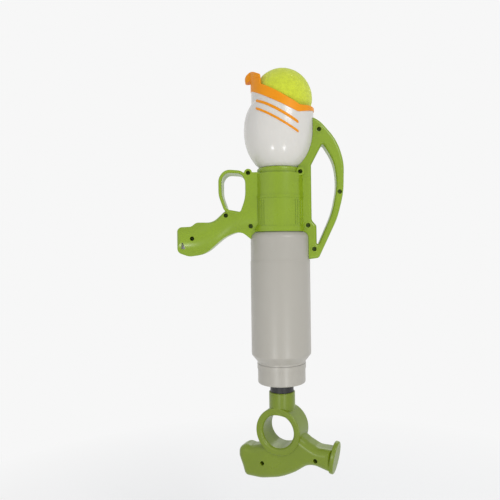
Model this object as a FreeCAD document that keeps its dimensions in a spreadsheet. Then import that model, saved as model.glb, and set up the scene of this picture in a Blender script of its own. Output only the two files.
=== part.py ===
"""Hand pumped tennis ball launcher for dogs, as a parametric document of separate pieces.

The launcher stands muzzle up. The origin lies on the barrel's axis, halfway along its straight
wall, +Z points out of the muzzle, +X towards the carrying handle and -Y towards the side that
the screws go in from. All lengths are millimetres.
"""
import FreeCAD, Part
import math
import os
import Sketcher

Vector = FreeCAD.Vector
ORIGIN = Vector(0, 0, 0)
UP = Vector(0, 0, 1)
BACKWARDS = Vector(0, 1, 0)

# Driving sizes: alias, value, meaning
SIZES = [
    ("ball_radius", 32.0, "tennis ball over its felt"),
    ("felt_thickness", 3.3, "felt cover of the ball"),
    ("rubber_thickness", 3.5, "wall of the ball's rubber core"),
    ("seat_gap", 0.3, "gap between pieces that only rest or move past each other"),
    ("running_gap", 0.05, "radial gap of a shaft or piston that slides in its bore"),
    ("seal_gap", 0.08, "radial gap of the piston's lip seal in the cylinder"),
    ("cup_wall", 1.2, "wall of the muzzle cup"),
    ("cup_shift", 4.5, "sideways shift of the muzzle cup from the barrel's axis"),
    ("cup_height", 32.0, "height of the cup's round wall before its mouth is cut"),
    ("bulb_radius", 37.4, "widest radius of the bulb under the cup"),
    ("bulb_drop", 47.5, "half height of the bulb's egg shape under its widest place"),
    ("bulb_rise", 39.5, "height of the widest place above the housing's ring"),
    ("bulb_crown", 29.0, "height from the widest place to the foot of the cup"),
    ("bulb_wall", 1.8, "wall of the bulb"),
    ("ball_rise", 35.8, "height of the ball's centre above the bulb's widest place"),
    ("ledge_radius", 27.5, "inner radius of the ledge that the ball rests on"),
    ("ledge_thickness", 4.0, "height of that ledge"),
    ("mouth_drop", 3.8, "ball's centre down to the middle of the slanting mouth"),
    ("mouth_slope", 0.585, "fall of the slanting mouth per millimetre"),
    ("mouth_level_start", 22.0, "distance from the axis where the mouth's edge stops falling"),
    ("edge_rise", 0.15, "rise of the mouth's and the band's edges per millimetre past that"),
    ("lip_thickness", 0.6, "soft lip outside the cup's wall"),
    ("lip_cap", 1.4, "soft lip over the edge of the cup"),
    ("lip_height", 5.2, "mouth down to the band's lower edge, at the cup's axis"),
    ("lip_slope", 0.497, "fall of the band's lower edge per millimetre"),
    ("lip_sag", 0.16, "fall of that edge per millimetre off the middle plane"),
    ("lip_level_start", 20.1, "distance from the axis where that edge stops falling"),
    ("hook_angle", 48.0, "half angle of the scoop hook round the cup"),
    ("hook_height", 11.9, "height of the scoop hook above the cup's mouth"),
    ("hook_wall", 0.8, "scoop hook proud of the lip beside its beak"),
    ("hook_flare", 6.5, "how far the hook's beak stands out of the lip"),
    ("beak_radius", 7.5, "rounding of the beak, seen from above"),
    ("hook_crest", 41.1, "radius of the hook's rounded crest, seen from the hook's side"),
    ("stripe_thickness", 0.8, "soft stripe proud of the bulb"),
    ("stripe_reach", 22.0, "half length of the soft stripes across the bulb"),
    ("stripe_slope", 0.585, "fall of the soft stripes per millimetre"),
    ("upper_stripe_height", 3.3, "height of the upper soft stripe"),
    ("lower_stripe_height", 2.7, "height of the lower soft stripe"),
    ("upper_stripe_drop", 19.4, "mouth down to the upper stripe's plane, at the cup's axis"),
    ("lower_stripe_drop", 29.0, "mouth down to the lower stripe's plane, at the cup's axis"),
    ("tail_radius", 17.0, "tail of the bulb in the housing's ring"),
    ("tail_wall", 2.4, "wall of the tail"),
    ("port_radius", 11.0, "air port in the tail's flange"),
    ("flange_thickness", 3.7, "flange at the end of the tail"),
    ("seal_thickness", 2.0, "rubber washer between cylinder and flange"),
    ("barrel_length", 121.0, "straight wall of the barrel"),
    ("barrel_radius", 32.0, "outside of the barrel"),
    ("barrel_wall", 2.2, "wall of the barrel"),
    ("shoulder_rise", 10.0, "height of the barrel's rounded shoulder"),
    ("shoulder_ledge", 0.2, "flat ring between the rounded shoulder and the upper neck"),
    ("seat_step", 0.4, "how much slimmer the barrel is where the housing's tab lies on it"),
    ("seat_reach", 31.0, "housing's foot down to the end of that slimmer wall"),
    ("foot_drop", 7.5, "height of the barrel's tapered foot"),
    ("foot_radius", 26.0, "end of the tapered foot"),
    ("foot_rim", 2.0, "straight rim under the foot"),
    ("foot_neck_radius", 23.6, "lower neck that the end cap fits over"),
    ("foot_neck_length", 10.0, "length of that lower neck"),
    ("neck_radius", 24.2, "upper neck of the barrel, inside the housing"),
    ("neck_length", 51.0, "length of that upper neck"),
    ("neck_groove_depth", 1.0, "groove round the upper neck"),
    ("neck_groove_height", 4.0, "height of that groove"),
    ("neck_groove_rise", 14.0, "housing's foot up to the groove"),
    ("bore_radius", 20.5, "bore of the pump cylinder"),
    ("cylinder_wall", 1.3, "wall of the pump cylinder"),
    ("cylinder_gap", 0.2, "radial gap of the cylinder in the barrel's necks"),
    ("cap_length", 21.0, "end cap"),
    ("cap_radius", 25.6, "outside of the end cap"),
    ("cap_rim_height", 5.3, "raised rim at the top of the end cap"),
    ("cap_rim_proud", 0.6, "how far that rim stands out of the cap"),
    ("cap_gap", 0.15, "radial gap of the cap on the lower neck"),
    ("cap_floor", 4.0, "floor of the end cap"),
    ("cap_round", 1.5, "rounded bottom edge of the cap"),
    ("vent_radius", 1.1, "air vents in the cap's floor"),
    ("vent_circle", 19.0, "radius of the circle of vents"),
    ("vent_count", 6, "number of vents"),
    ("bush_radius", 14.6, "rod bush in the cap's floor"),
    ("bush_flange", 17.4, "flange of the rod bush"),
    ("bush_flange_height", 2.0, "height of that flange"),
    ("rod_radius", 12.6, "outside of the pump rod"),
    ("rod_wall", 2.1, "wall of the pump rod"),
    ("rod_show", 9.7, "rod that shows between end cap and handle"),
    ("plug_length", 14.0, "plug in the rod's upper end"),
    ("piston_radius", 20.2, "outside of the piston"),
    ("piston_thickness", 8.0, "solid part of the piston"),
    ("piston_skirt", 15.0, "guiding skirt under it"),
    ("skirt_wall", 2.0, "wall of the skirt"),
    ("seal_base", 2.0, "base of the piston's lip seal"),
    ("seal_lip", 7.0, "height of the lip above its base"),
    ("seal_lip_wall", 1.8, "wall of the lip"),
    ("plate_radius", 16.0, "metal plate that holds the lip seal down"),
    ("plate_thickness", 2.5, "thickness of that plate"),
    ("bumper_radius", 15.8, "foam bumper on the piston"),
    ("bumper_bore", 7.0, "hole in the bumper for the bolt's head"),
    ("bumper_height", 8.0, "height of the bumper"),
    ("bolt_radius", 3.0, "bolt on which the rod turns in the piston"),
    ("bolt_head_radius", 5.5, "head of that bolt"),
    ("bolt_head_height", 3.5, "height of its head"),
    ("nut_height", 5.0, "nut under the plug"),
    ("nut_radius", 5.4, "nut over its corners"),
    ("housing_wall", 2.5, "wall of the housing halves"),
    ("roof_thickness", 4.5, "housing over the flange of the tail"),
    ("ring_height", 6.5, "ring of the housing round the tail"),
    ("ring_wall", 6.6, "wall of that ring"),
    ("ring_round", 2.2, "rounded top edge of that ring"),
    ("collar_band_rise", 35.3, "housing's foot up to the raised band"),
    ("collar_band_height", 2.4, "height of the raised band and of the foot's rim"),
    ("collar_band_proud", 0.7, "how far the band and the rim stand out"),
    ("collar_rim_height", 5.5, "rim round the housing's foot"),
    ("collar_round", 0.8, "rounded top edge of the collar"),
    ("flute_count", 4, "upright flutes in each group on the collar"),
    ("flute_spacing", 2.2, "distance between two flutes"),
    ("flute_width", 1.0, "width of a flute"),
    ("flute_depth", 0.8, "depth of a flute"),
    ("flute_start", 16.4, "first flute's distance from the middle"),
    ("flute_length", 26.0, "length of a flute"),
    ("plate_depth", 14.0, "half depth of the flat plate beside the collar"),
    ("plate_width", 9.5, "plate between collar and finger hole"),
    ("grip_depth", 14.0, "half depth of the pistol grip"),
    ("grip_round", 5.0, "rounded edge of the grip"),
    ("grip_dome", 24.0, "radius of the grip's rounded front and back"),
    ("gusset_depth", 9.0, "half depth of the web under the grip's root"),
    ("grip_reach", 82.2, "collar to the butt of the grip"),
    ("butt_height", 27.1, "height of the grip's butt"),
    ("finger_width", 24.5, "finger hole's width"),
    ("finger_height", 39.5, "finger hole's height"),
    ("finger_rise", 22.0, "housing's foot up to the finger hole"),
    ("loop_wall", 3.4, "strap of the finger loop"),
    ("loop_depth", 14.0, "half depth of the finger loop"),
    ("loop_round", 1.4, "rounded edge of the finger loop"),
    ("handle_depth", 10.5, "half depth of the carrying handle"),
    ("handle_round", 3.0, "rounded edge of the carrying handle"),
    ("handle_reach", 41.6, "collar to the outside of the carrying handle"),
    ("handle_thickness", 8.0, "carrying handle at its middle"),
    ("window_wall", 7.0, "plate between collar and handle window"),
    ("boss_radius", 4.2, "screw bosses"),
    ("crown_boss_depth", 17.0, "half depth of the boss where collar, ring and web meet"),
    ("screw_radius", 1.3, "thread of the housing and handle screws"),
    ("screw_length", 12.0, "screws under their heads"),
    ("screw_head_radius", 2.05, "heads of the screws"),
    ("screw_head_height", 1.8, "height of the heads"),
    ("screw_recess", 2.4, "radius of the deep recesses for the heads"),
    ("screw_seat", 4.5, "seat of a head in front of the joint of the halves"),
    ("slot_height", 8.6, "lanyard slot in the butt"),
    ("slot_width", 4.8, "width of the slot at its lower end"),
    ("tee_turn", 23.0, "degrees that the pump handle is turned from the housing's plane"),
    ("tee_stem_radius", 14.0, "stem of the pump handle"),
    ("tee_socket", 17.0, "depth of the rod's socket in the stem"),
    ("tee_ring_drop", 40.3, "top of the stem down to the middle of the finger ring"),
    ("tee_ring_outer", 25.0, "finger ring outside"),
    ("tee_ring_bore", 17.6, "finger ring inside"),
    ("tee_ring_depth", 14.0, "half depth of the finger ring"),
    ("tee_ring_round", 1.2, "rounded outer edge of the finger ring"),
    ("tee_bore_round", 3.0, "rounded inner edge of the finger ring"),
    ("tee_bar_depth", 12.2, "half depth of the cross bar"),
    ("tee_bar_round", 7.6, "rounded edge of the cross bar"),
    ("tee_left", 49.0, "axis to the end of the long lobe"),
    ("tee_right", 60.5, "axis to the end flange of the short wing"),
    ("tee_flange_depth", 12.2, "half depth of the end flange"),
    ("tee_flange_width", 4.6, "thickness of the end flange"),
    ("tee_flange_height", 34.5, "height of the end flange"),
    ("tee_flange_drop", 23.0, "middle of the ring down to the middle of the end flange"),
    ("tee_flange_lean", 10.5, "degrees that the top of the end flange leans outwards"),
    ("tee_wall", 2.4, "wall of the pump handle's halves"),
    ("peg_radius", 2.5, "pegs of the handle that hold the rod"),
    ("peg_gap", 0.1, "radial gap of a peg in the rod's hole"),
    ("peg_drop", 9.0, "top of the stem down to the pegs"),
]

# Levels along the axis and radii that follow from the driving sizes
BARREL_END = "(Sizes.barrel_length / 2)"
HOUSING_FOOT = f"({BARREL_END} + Sizes.shoulder_rise)"
NECK_TOP = f"({HOUSING_FOOT} + Sizes.neck_length)"
STOP_LEVEL = f"({NECK_TOP} + Sizes.seal_thickness)"
COLLAR_ROOF = f"({STOP_LEVEL} + Sizes.flange_thickness + Sizes.seat_gap)"
COLLAR_TOP = f"({COLLAR_ROOF} + Sizes.roof_thickness)"
RING_TOP = f"({COLLAR_TOP} + Sizes.ring_height)"
BULB_LEVEL = f"({RING_TOP} + Sizes.bulb_rise)"
CUP_FOOT = f"({BULB_LEVEL} + Sizes.bulb_crown)"
BALL_LEVEL = f"({BULB_LEVEL} + Sizes.ball_rise)"
FOOT_LEVEL = f"(0 - {BARREL_END} - Sizes.foot_drop - Sizes.foot_rim)"
CAP_BOTTOM = f"({FOOT_LEVEL} - Sizes.seat_gap - Sizes.cap_length)"
FLOOR_TOP = f"({CAP_BOTTOM} + Sizes.cap_floor)"
TEE_TOP = f"({CAP_BOTTOM} - Sizes.rod_show)"
ROD_FOOT = f"({TEE_TOP} - Sizes.tee_socket)"
BUMPER_FOOT = f"({STOP_LEVEL} - Sizes.seat_gap - Sizes.bumper_height)"
SEAL_FOOT = f"({BUMPER_FOOT} - Sizes.plate_thickness - Sizes.seal_base)"
PISTON_FOOT = f"({SEAL_FOOT} - Sizes.piston_thickness)"
ROD_TOP = f"({PISTON_FOOT} - Sizes.seat_gap)"
CUP_BORE = "(Sizes.ball_radius + Sizes.seat_gap)"
CUP_RADIUS = f"({CUP_BORE} + Sizes.cup_wall)"
COLLAR_BORE = "(Sizes.neck_radius + Sizes.seat_gap)"
COLLAR_RADIUS = f"({COLLAR_BORE} + Sizes.housing_wall)"
CYLINDER_RADIUS = "(Sizes.bore_radius + Sizes.cylinder_wall)"
BARREL_SEAT = "(Sizes.barrel_radius - Sizes.seat_step)"
SHOULDER_ROUND = f"({BARREL_SEAT} - Sizes.neck_radius - Sizes.shoulder_ledge)"
ROD_BORE = "(Sizes.rod_radius - Sizes.rod_wall)"

doc = FreeCAD.newDocument("ball_launcher")
sheet = doc.addObject("Spreadsheet::Sheet", "Sizes")
for line, (alias, value, meaning) in enumerate(SIZES, start=1):
    sheet.set(f"A{line}", meaning)
    sheet.set(f"B{line}", str(value))
    sheet.setAlias(f"B{line}", alias)
doc.recompute()


def size(expression):
    """Return the value of a sheet expression, or of one alias, as a number."""
    if expression.isidentifier():
        expression = "Sizes." + expression
    return float(sheet.evalExpression(expression))


# Pieces turned or bored about the axis

def origin_plane(body, role):
    """Return the body's own origin plane with this role."""
    return next(item for item in body.Origin.OriginFeatures if item.Role == role)


def add_sketch(body, name, role):
    """Return a sketch on one of the body's own origin planes."""
    sketch = body.newObject("Sketcher::SketchObject", name)
    sketch.AttachmentSupport = [(origin_plane(body, role), "")]
    sketch.MapMode = "FlatFace"
    return sketch


def bind_point(sketch, line, name, expression, direction):
    """Tie one coordinate of a line's start to the sheet; zero ties it to the axis."""
    value = size(expression) if expression != "0" else 0.0
    if abs(value) < 1e-9:
        axis = -2 if direction == "DistanceX" else -1
        sketch.addConstraint(Sketcher.Constraint("PointOnObject", line, 1, axis))
        return
    index = sketch.addConstraint(Sketcher.Constraint(direction, -1, 1, line, 1, value))
    sketch.renameConstraint(index, name)
    sketch.setExpression(f"Constraints.{name}", expression)


def turned_body(name, foot, corners):
    """Return a body turned about Z. corners holds (radius, height over the foot) expressions."""
    body = doc.addObject("PartDesign::Body", name)
    sketch = add_sketch(body, name + "_profile", "XZ_Plane")
    places = [Vector(size(radius) if radius != "0" else 0, size(height) if height != "0" else 0, 0)
              for radius, height in corners]
    for index, place in enumerate(places):
        following = places[(index + 1) % len(places)]
        sketch.addGeometry(Part.LineSegment(place, following), False)
    for index in range(len(places)):
        following = (index + 1) % len(places)
        sketch.addConstraint(Sketcher.Constraint("Coincident", index, 2, following, 1))
    for index, (radius, height) in enumerate(corners):
        bind_point(sketch, index, f"radius{index}", radius, "DistanceX")
        bind_point(sketch, index, f"height{index}", height, "DistanceY")
    turn = body.newObject("PartDesign::Revolution", name + "_turn")
    turn.Profile = sketch
    turn.ReferenceAxis = (sketch, ["V_Axis"])
    turn.Angle = 360
    body.setExpression("Placement.Base.z", foot)
    doc.recompute()
    return body


def round_edges(body, name, radius, places):
    """Round the body's circular edges at (edge radius, height over the foot) places."""
    base = body.Tip
    names = []
    for index, edge in enumerate(base.Shape.Edges, start=1):
        if not hasattr(edge.Curve, "Radius"):
            continue
        height = edge.Curve.Center.z
        for edge_radius, edge_height in places:
            if abs(edge.Curve.Radius - size(edge_radius)) < 1e-3 and abs(height - size(edge_height)) < 1e-3:
                names.append(f"Edge{index}")
    fillet = body.newObject("PartDesign::Fillet", name)
    fillet.Base = (base, names)
    fillet.setExpression("Radius", radius)
    body.Tip = fillet
    doc.recompute()
    return fillet


def cylinder(name, radius, height, foot="0"):
    """Return an upright Part cylinder bound to the sheet."""
    piece = doc.addObject("Part::Cylinder", name)
    piece.setExpression("Radius", radius)
    piece.setExpression("Height", height)
    if foot != "0":
        piece.setExpression("Placement.Base.z", foot)
    return piece


def cut(name, base, tool):
    """Return base less tool."""
    piece = doc.addObject("Part::Cut", name)
    piece.Base = base
    piece.Tool = tool
    return piece


def tube(name, outer, inner, height, foot):
    """Return an upright tube bound to the sheet."""
    wall = cylinder(name + "_outside", outer, height, foot)
    hole = cylinder(name + "_bore", inner, height, foot)
    return cut(name, wall, hole)


def sphere(name, radius):
    """Return a sphere at the ball's centre."""
    piece = doc.addObject("Part::Sphere", name)
    piece.setExpression("Radius", radius)
    piece.setExpression("Placement.Base.x", "Sizes.cup_shift")
    piece.setExpression("Placement.Base.z", BALL_LEVEL)
    return piece


def build_ball():
    """The ball: a hollow rubber core under a felt cover."""
    core_radius = "Sizes.ball_radius - Sizes.felt_thickness"
    felt = cut("ball_felt", sphere("felt_outside", "Sizes.ball_radius"),
               sphere("felt_inside", core_radius))
    core = cut("ball_core", sphere("core_outside", core_radius),
               sphere("core_inside", core_radius + " - Sizes.rubber_thickness"))
    return [felt, core]


def build_barrel():
    """The barrel's shell, with a neck at each end for the housing and the end cap."""
    foot = f"({FOOT_LEVEL} - Sizes.foot_neck_length)"
    neck_foot = "Sizes.foot_neck_length"
    taper_foot = f"({neck_foot} + Sizes.foot_rim)"
    wall_foot = f"({taper_foot} + Sizes.foot_drop)"
    wall_top = f"({wall_foot} + Sizes.barrel_length + Sizes.shoulder_rise)"
    seat_foot = f"({wall_top} - Sizes.seat_reach)"
    groove_foot = f"({wall_top} + Sizes.neck_groove_rise)"
    groove_top = f"({groove_foot} + Sizes.neck_groove_height)"
    top = f"({wall_top} + Sizes.neck_length)"
    groove = "(Sizes.neck_radius - Sizes.neck_groove_depth)"
    bore = f"({CYLINDER_RADIUS} + Sizes.cylinder_gap)"
    inside = "(Sizes.barrel_radius - Sizes.barrel_wall)"
    barrel = turned_body("barrel", foot, [
        ("Sizes.foot_neck_radius", "0"),
        ("Sizes.foot_neck_radius", neck_foot),
        ("Sizes.foot_radius", neck_foot),
        ("Sizes.foot_radius", taper_foot),
        ("Sizes.barrel_radius", wall_foot),
        ("Sizes.barrel_radius", seat_foot),
        (BARREL_SEAT, seat_foot),
        (BARREL_SEAT, wall_top),
        ("Sizes.neck_radius", wall_top),
        ("Sizes.neck_radius", groove_foot),
        (groove, groove_foot),
        (groove, groove_top),
        ("Sizes.neck_radius", groove_top),
        ("Sizes.neck_radius", top),
        (bore, top),
        (bore, f"({wall_top} - Sizes.barrel_wall)"),
        (inside, f"({wall_top} - Sizes.shoulder_rise)"),
        (inside, f"({wall_foot} + Sizes.barrel_wall / 2)"),
        (bore, f"({taper_foot} + Sizes.barrel_wall / 2)"),
        (bore, "0"),
    ])
    round_edges(barrel, "barrel_shoulder", SHOULDER_ROUND, [(BARREL_SEAT, wall_top)])
    round_edges(barrel, "barrel_foot_round", "Sizes.foot_rim",
                [("Sizes.barrel_radius", wall_foot), ("Sizes.foot_radius", taper_foot)])
    return [barrel]


def build_end_cap():
    """The end cap, which closes the barrel's foot, with its ring of air vents."""
    ledge = f"(Sizes.cap_length + Sizes.seat_gap - Sizes.foot_neck_length - Sizes.seat_gap)"
    rim_foot = "(Sizes.cap_length - Sizes.cap_rim_height)"
    rim_radius = "(Sizes.cap_radius + Sizes.cap_rim_proud)"
    bore = "(Sizes.foot_neck_radius + Sizes.cap_gap)"
    seat = f"({CYLINDER_RADIUS} + Sizes.cylinder_gap)"
    cap = turned_body("end_cap", CAP_BOTTOM, [
        ("Sizes.bush_radius", "0"),
        ("Sizes.cap_radius", "0"),
        ("Sizes.cap_radius", rim_foot),
        (rim_radius, rim_foot),
        (rim_radius, "Sizes.cap_length"),
        (bore, "Sizes.cap_length"),
        (bore, ledge),
        (seat, ledge),
        (seat, "Sizes.cap_floor"),
        ("Sizes.bush_radius", "Sizes.cap_floor"),
    ])
    round_edges(cap, "cap_edge", "Sizes.cap_round", [("Sizes.cap_radius", "0 * Sizes.cap_radius")])
    sketch = add_sketch(cap, "vent_profile", "XY_Plane")
    sketch.addGeometry(Part.Circle(Vector(size("vent_circle"), 0, 0), UP, size("vent_radius")), False)
    sketch.addConstraint(Sketcher.Constraint("PointOnObject", 0, 3, -1))
    place = sketch.addConstraint(
        Sketcher.Constraint("DistanceX", -1, 1, 0, 3, size("vent_circle")))
    sketch.renameConstraint(place, "circle_radius")
    sketch.setExpression("Constraints.circle_radius", "Sizes.vent_circle")
    width = sketch.addConstraint(Sketcher.Constraint("Radius", 0, size("vent_radius")))
    sketch.renameConstraint(width, "hole_radius")
    sketch.setExpression("Constraints.hole_radius", "Sizes.vent_radius")
    solid_volume = cap.Shape.Volume
    vent = cap.newObject("PartDesign::Pocket", "vent")
    vent.Profile = sketch
    vent.Type = 0
    vent.Reversed = True
    vent.setExpression("Length", "Sizes.cap_floor")
    doc.recompute()
    vents = cap.newObject("PartDesign::PolarPattern", "vents")
    vents.Originals = [vent]
    vents.Axis = (sketch, ["N_Axis"])
    vents.Angle = 360
    vents.setExpression("Occurrences", "Sizes.vent_count")
    cap.Tip = vents
    doc.recompute()
    if cap.Shape.Volume >= solid_volume:
        raise ValueError("the vents cut nothing out of the end cap")
    return [cap]


def build_rod_bush():
    """The flanged bush in the cap's floor, in which the rod slides."""
    bore = "(Sizes.rod_radius + Sizes.running_gap)"
    height = "(Sizes.cap_floor + Sizes.bush_flange_height)"
    return [turned_body("rod_bush", CAP_BOTTOM, [
        (bore, "0"),
        ("Sizes.bush_radius", "0"),
        ("Sizes.bush_radius", "Sizes.cap_floor"),
        ("Sizes.bush_flange", "Sizes.cap_floor"),
        ("Sizes.bush_flange", height),
        (bore, height),
    ])]


def build_pump_cylinder():
    """The inner cylinder and the washer that seals it to the bulb's flange."""
    length = f"({NECK_TOP} - {FLOOR_TOP})"
    inner = tube("pump_cylinder", CYLINDER_RADIUS, "Sizes.bore_radius", length, FLOOR_TOP)
    washer = tube("neck_seal", "Sizes.neck_radius", "Sizes.bore_radius - 2 * Sizes.cylinder_wall / 2",
                  "Sizes.seal_thickness", NECK_TOP)
    return [inner, washer]


def build_piston():
    """The piston with its lip seal, holding plate and foam bumper."""
    hole = "(Sizes.bolt_radius + Sizes.running_gap)"
    skirt = "(Sizes.piston_radius - Sizes.skirt_wall)"
    top = "(Sizes.piston_skirt + Sizes.piston_thickness)"
    piston = turned_body("piston", f"({PISTON_FOOT} - Sizes.piston_skirt)", [
        (skirt, "0"),
        ("Sizes.piston_radius", "0"),
        ("Sizes.piston_radius", top),
        (hole, top),
        (hole, "Sizes.piston_skirt"),
        (skirt, "Sizes.piston_skirt"),
    ])
    lip = "(Sizes.bore_radius - Sizes.seal_gap)"
    lip_top = "(Sizes.seal_base + Sizes.seal_lip)"
    seal = turned_body("piston_seal", SEAL_FOOT, [
        (hole, "0"),
        ("Sizes.piston_radius", "0"),
        (lip, lip_top),
        (f"({lip} - Sizes.seal_lip_wall / 2)", lip_top),
        ("(Sizes.piston_radius - Sizes.seal_lip_wall)", "Sizes.seal_base"),
        (hole, "Sizes.seal_base"),
    ])
    plate = tube("seal_plate", "Sizes.plate_radius", hole, "Sizes.plate_thickness",
                 f"({SEAL_FOOT} + Sizes.seal_base)")
    bumper = tube("piston_bumper", "Sizes.bumper_radius", "Sizes.bumper_bore",
                  "Sizes.bumper_height", BUMPER_FOOT)
    return [piston, seal, plate, bumper]


def build_rod():
    """The pump rod with its plug, and the bolt and nut on which it turns in the piston."""
    length = f"({ROD_TOP} - {ROD_FOOT})"
    rod_tube = tube("rod_tube", "Sizes.rod_radius", ROD_BORE, length, ROD_FOOT)
    cross = cylinder("peg_hole", "Sizes.peg_radius + Sizes.peg_gap", "4 * Sizes.rod_radius")
    cross.Placement = FreeCAD.Placement(ORIGIN, FreeCAD.Rotation(Vector(1, 0, 0), -90))
    cross.setExpression("Placement.Base.y", "-2 * Sizes.rod_radius")
    cross.setExpression("Placement.Base.z", f"{TEE_TOP} - Sizes.peg_drop")
    rod = cut("pump_rod", rod_tube, cross)
    rod.Placement = FreeCAD.Placement(ORIGIN, FreeCAD.Rotation(UP, -1))
    rod.setExpression("Placement.Rotation.Angle", "0 - Sizes.tee_turn")
    plug_foot = f"({ROD_TOP} - Sizes.plug_length)"
    plug = tube("rod_plug", ROD_BORE, "Sizes.bolt_radius", "Sizes.plug_length", plug_foot)
    bolt_foot = f"({plug_foot} - Sizes.nut_height)"
    shank = f"({BUMPER_FOOT} + Sizes.seat_gap - {bolt_foot})"
    bolt = turned_body("piston_bolt", bolt_foot, [
        ("0", "0"),
        ("Sizes.bolt_radius", "0"),
        ("Sizes.bolt_radius", shank),
        ("Sizes.bolt_head_radius", shank),
        ("Sizes.bolt_head_radius", f"({shank} + Sizes.bolt_head_height)"),
        ("0", f"({shank} + Sizes.bolt_head_height)"),
    ])
    hexagon = doc.addObject("Part::Prism", "nut_hexagon")
    hexagon.Polygon = 6
    hexagon.setExpression("Circumradius", "Sizes.nut_radius")
    hexagon.setExpression("Height", "Sizes.nut_height")
    hexagon.setExpression("Placement.Base.z", bolt_foot)
    nut = cut("piston_nut", hexagon,
              cylinder("nut_thread", "Sizes.bolt_radius", "Sizes.nut_height", bolt_foot))
    return [rod, plug, bolt, nut]


# Moulded pieces with free outlines

def place(x, z):
    """Return a point of the housing's middle plane."""
    return Vector(x, 0, z)


def rounded_outline(corners):
    """Return a closed wire in the middle plane with a tangent arc at each corner.

    corners holds (x, z, radius). A radius of None takes the largest arc that the two sides
    leave room for, and zero keeps the corner sharp.
    """
    share = 0.5
    starts, middles, ends = [], [], []
    for index, (x, z, radius) in enumerate(corners):
        here = place(x, z)
        before = place(*corners[index - 1][:2]) - here
        after = place(*corners[(index + 1) % len(corners)][:2]) - here
        inner = before.getAngle(after)
        room = share * min(before.Length, after.Length)
        setback = room if radius is None else min(radius / math.tan(inner / 2), room)
        arc_radius = setback * math.tan(inner / 2)
        before.normalize()
        after.normalize()
        bisector = before + after
        if setback < 1e-6 or bisector.Length < 1e-6:
            starts.append(here)
            middles.append(None)
            ends.append(here)
            continue
        bisector.normalize()
        centre = here + bisector * (arc_radius / math.sin(inner / 2))
        starts.append(here + before * setback)
        middles.append(centre - bisector * arc_radius)
        ends.append(here + after * setback)
    edges = []
    for index in range(len(corners)):
        if middles[index] is not None:
            edges.append(Part.Arc(starts[index], middles[index], ends[index]).toShape())
        following = starts[(index + 1) % len(corners)]
        if (following - ends[index]).Length > 1e-6:
            edges.append(Part.LineSegment(ends[index], following).toShape())
    return Part.Wire(edges)


def slab(face, depth, edge_round=0.0, buried=0.0):
    """Return the half plate from the middle plane to -depth, its front edges rounded.

    Edges that lie no further than buried from the axis stay sharp.
    """
    solid = face.extrude(Vector(0, -depth, 0))
    if edge_round <= 0:
        return solid
    front = []
    for edge in solid.Edges:
        box = edge.BoundBox
        if abs(box.YMin + depth) < 1e-6 and abs(box.YMax + depth) < 1e-6:
            if max(abs(box.XMin), abs(box.XMax)) > buried:
                front.append(edge)
    return solid.makeFillet(edge_round, front)


def upright_cylinder(radius, bottom, top, x=0.0):
    """Return a plain cylinder between two levels."""
    return Part.makeCylinder(radius, top - bottom, Vector(x, 0, bottom))


def half_space(front=True):
    """Return a box that holds everything in front of, or behind, the middle plane."""
    reach = 1000
    corner = Vector(-reach / 2, -reach if front else 0, -reach / 2)
    return Part.makeBox(reach, reach, reach, corner)


def mirrored(shape):
    """Return the shape mirrored to the other side of the middle plane."""
    return shape.mirror(ORIGIN, BACKWARDS)


def bulb_solid(grow):
    """Return the egg shaped bulb and the round cup over it, offset outwards by grow."""
    level = size(BULB_LEVEL)
    foot = size(CUP_FOOT)
    radius = size("bulb_radius") + grow
    drop = size("bulb_drop") + grow
    cup = size(CUP_RADIUS) + grow
    shift = size("cup_shift")
    wide = place(radius, level)
    deep = place(0, level - drop)
    angle = math.radians(45)
    between = place(radius * math.cos(angle), level - drop * math.sin(angle))
    ellipse = Part.Ellipse(deep, wide, place(0, level))
    quarter = Part.Edge(ellipse, ellipse.parameter(deep), ellipse.parameter(wide))
    if quarter.Length > 2 * (wide - deep).Length or (between - quarter.valueAt(
            (quarter.FirstParameter + quarter.LastParameter) / 2)).Length > radius:
        quarter = Part.Edge(ellipse, ellipse.parameter(wide), ellipse.parameter(deep))
    outline = Part.Wire(Part.__sortEdges__([
        quarter,
        Part.LineSegment(wide, place(0, level)).toShape(),
        Part.LineSegment(place(0, level), deep).toShape(),
    ]))
    lower = Part.Face(outline).revolve(ORIGIN, UP, 360)
    steps = 6
    power = 2.5
    rings = []
    for step in range(steps + 1):
        share = step / steps
        blend = share ** power
        centre = Vector(shift * blend, 0, level + share * (foot - level))
        rings.append(Part.Wire(Part.makeCircle(radius + (cup - radius) * blend, centre, UP)))
    crown = Part.makeLoft(rings, True, False)
    wall = upright_cylinder(cup, foot, foot + size("cup_height"), shift)
    return lower.fuse([crown, wall])


def slanted_block(drop, slope, sag, level_start=None):
    """Return all that lies below a slanting line of the middle plane, sagging to both sides.

    The line passes below the middle of the mouth by drop. It falls by slope for each
    millimetre towards the carrying handle, and rises a little from level_start on. To the
    front and the back the surface falls by sag for each millimetre.
    """
    middle = size(BALL_LEVEL) - size("mouth_drop") - drop
    shift = size("cup_shift")
    reach = 2 * size("bulb_radius")
    turn = reach if level_start is None else level_start
    level = middle - slope * (turn - shift)
    end = level + size("edge_rise") * (reach + 1 - turn)
    depth = 4 * reach
    points = [
        place(-reach, middle + slope * (reach + shift)),
        place(turn, level),
        place(reach + 1, end),
        place(reach + 1, level - depth),
        place(-reach, level - depth),
    ]
    face = Part.Face(Part.makePolygon(points + points[:1]))
    front = face.extrude(Vector(0, -reach, -sag * reach))
    return front.fuse(mirrored(front))


def mouth_block(drop):
    """Return all that lies below the slanting mouth, lowered by drop along the axis."""
    return slanted_block(drop, size("mouth_slope"), 0.0, size("mouth_level_start"))


def band_block():
    """Return all that lies below the lower edge of the soft lip's band."""
    return slanted_block(size("lip_height"), size("lip_slope"), size("lip_sag"), size("lip_level_start"))


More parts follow.
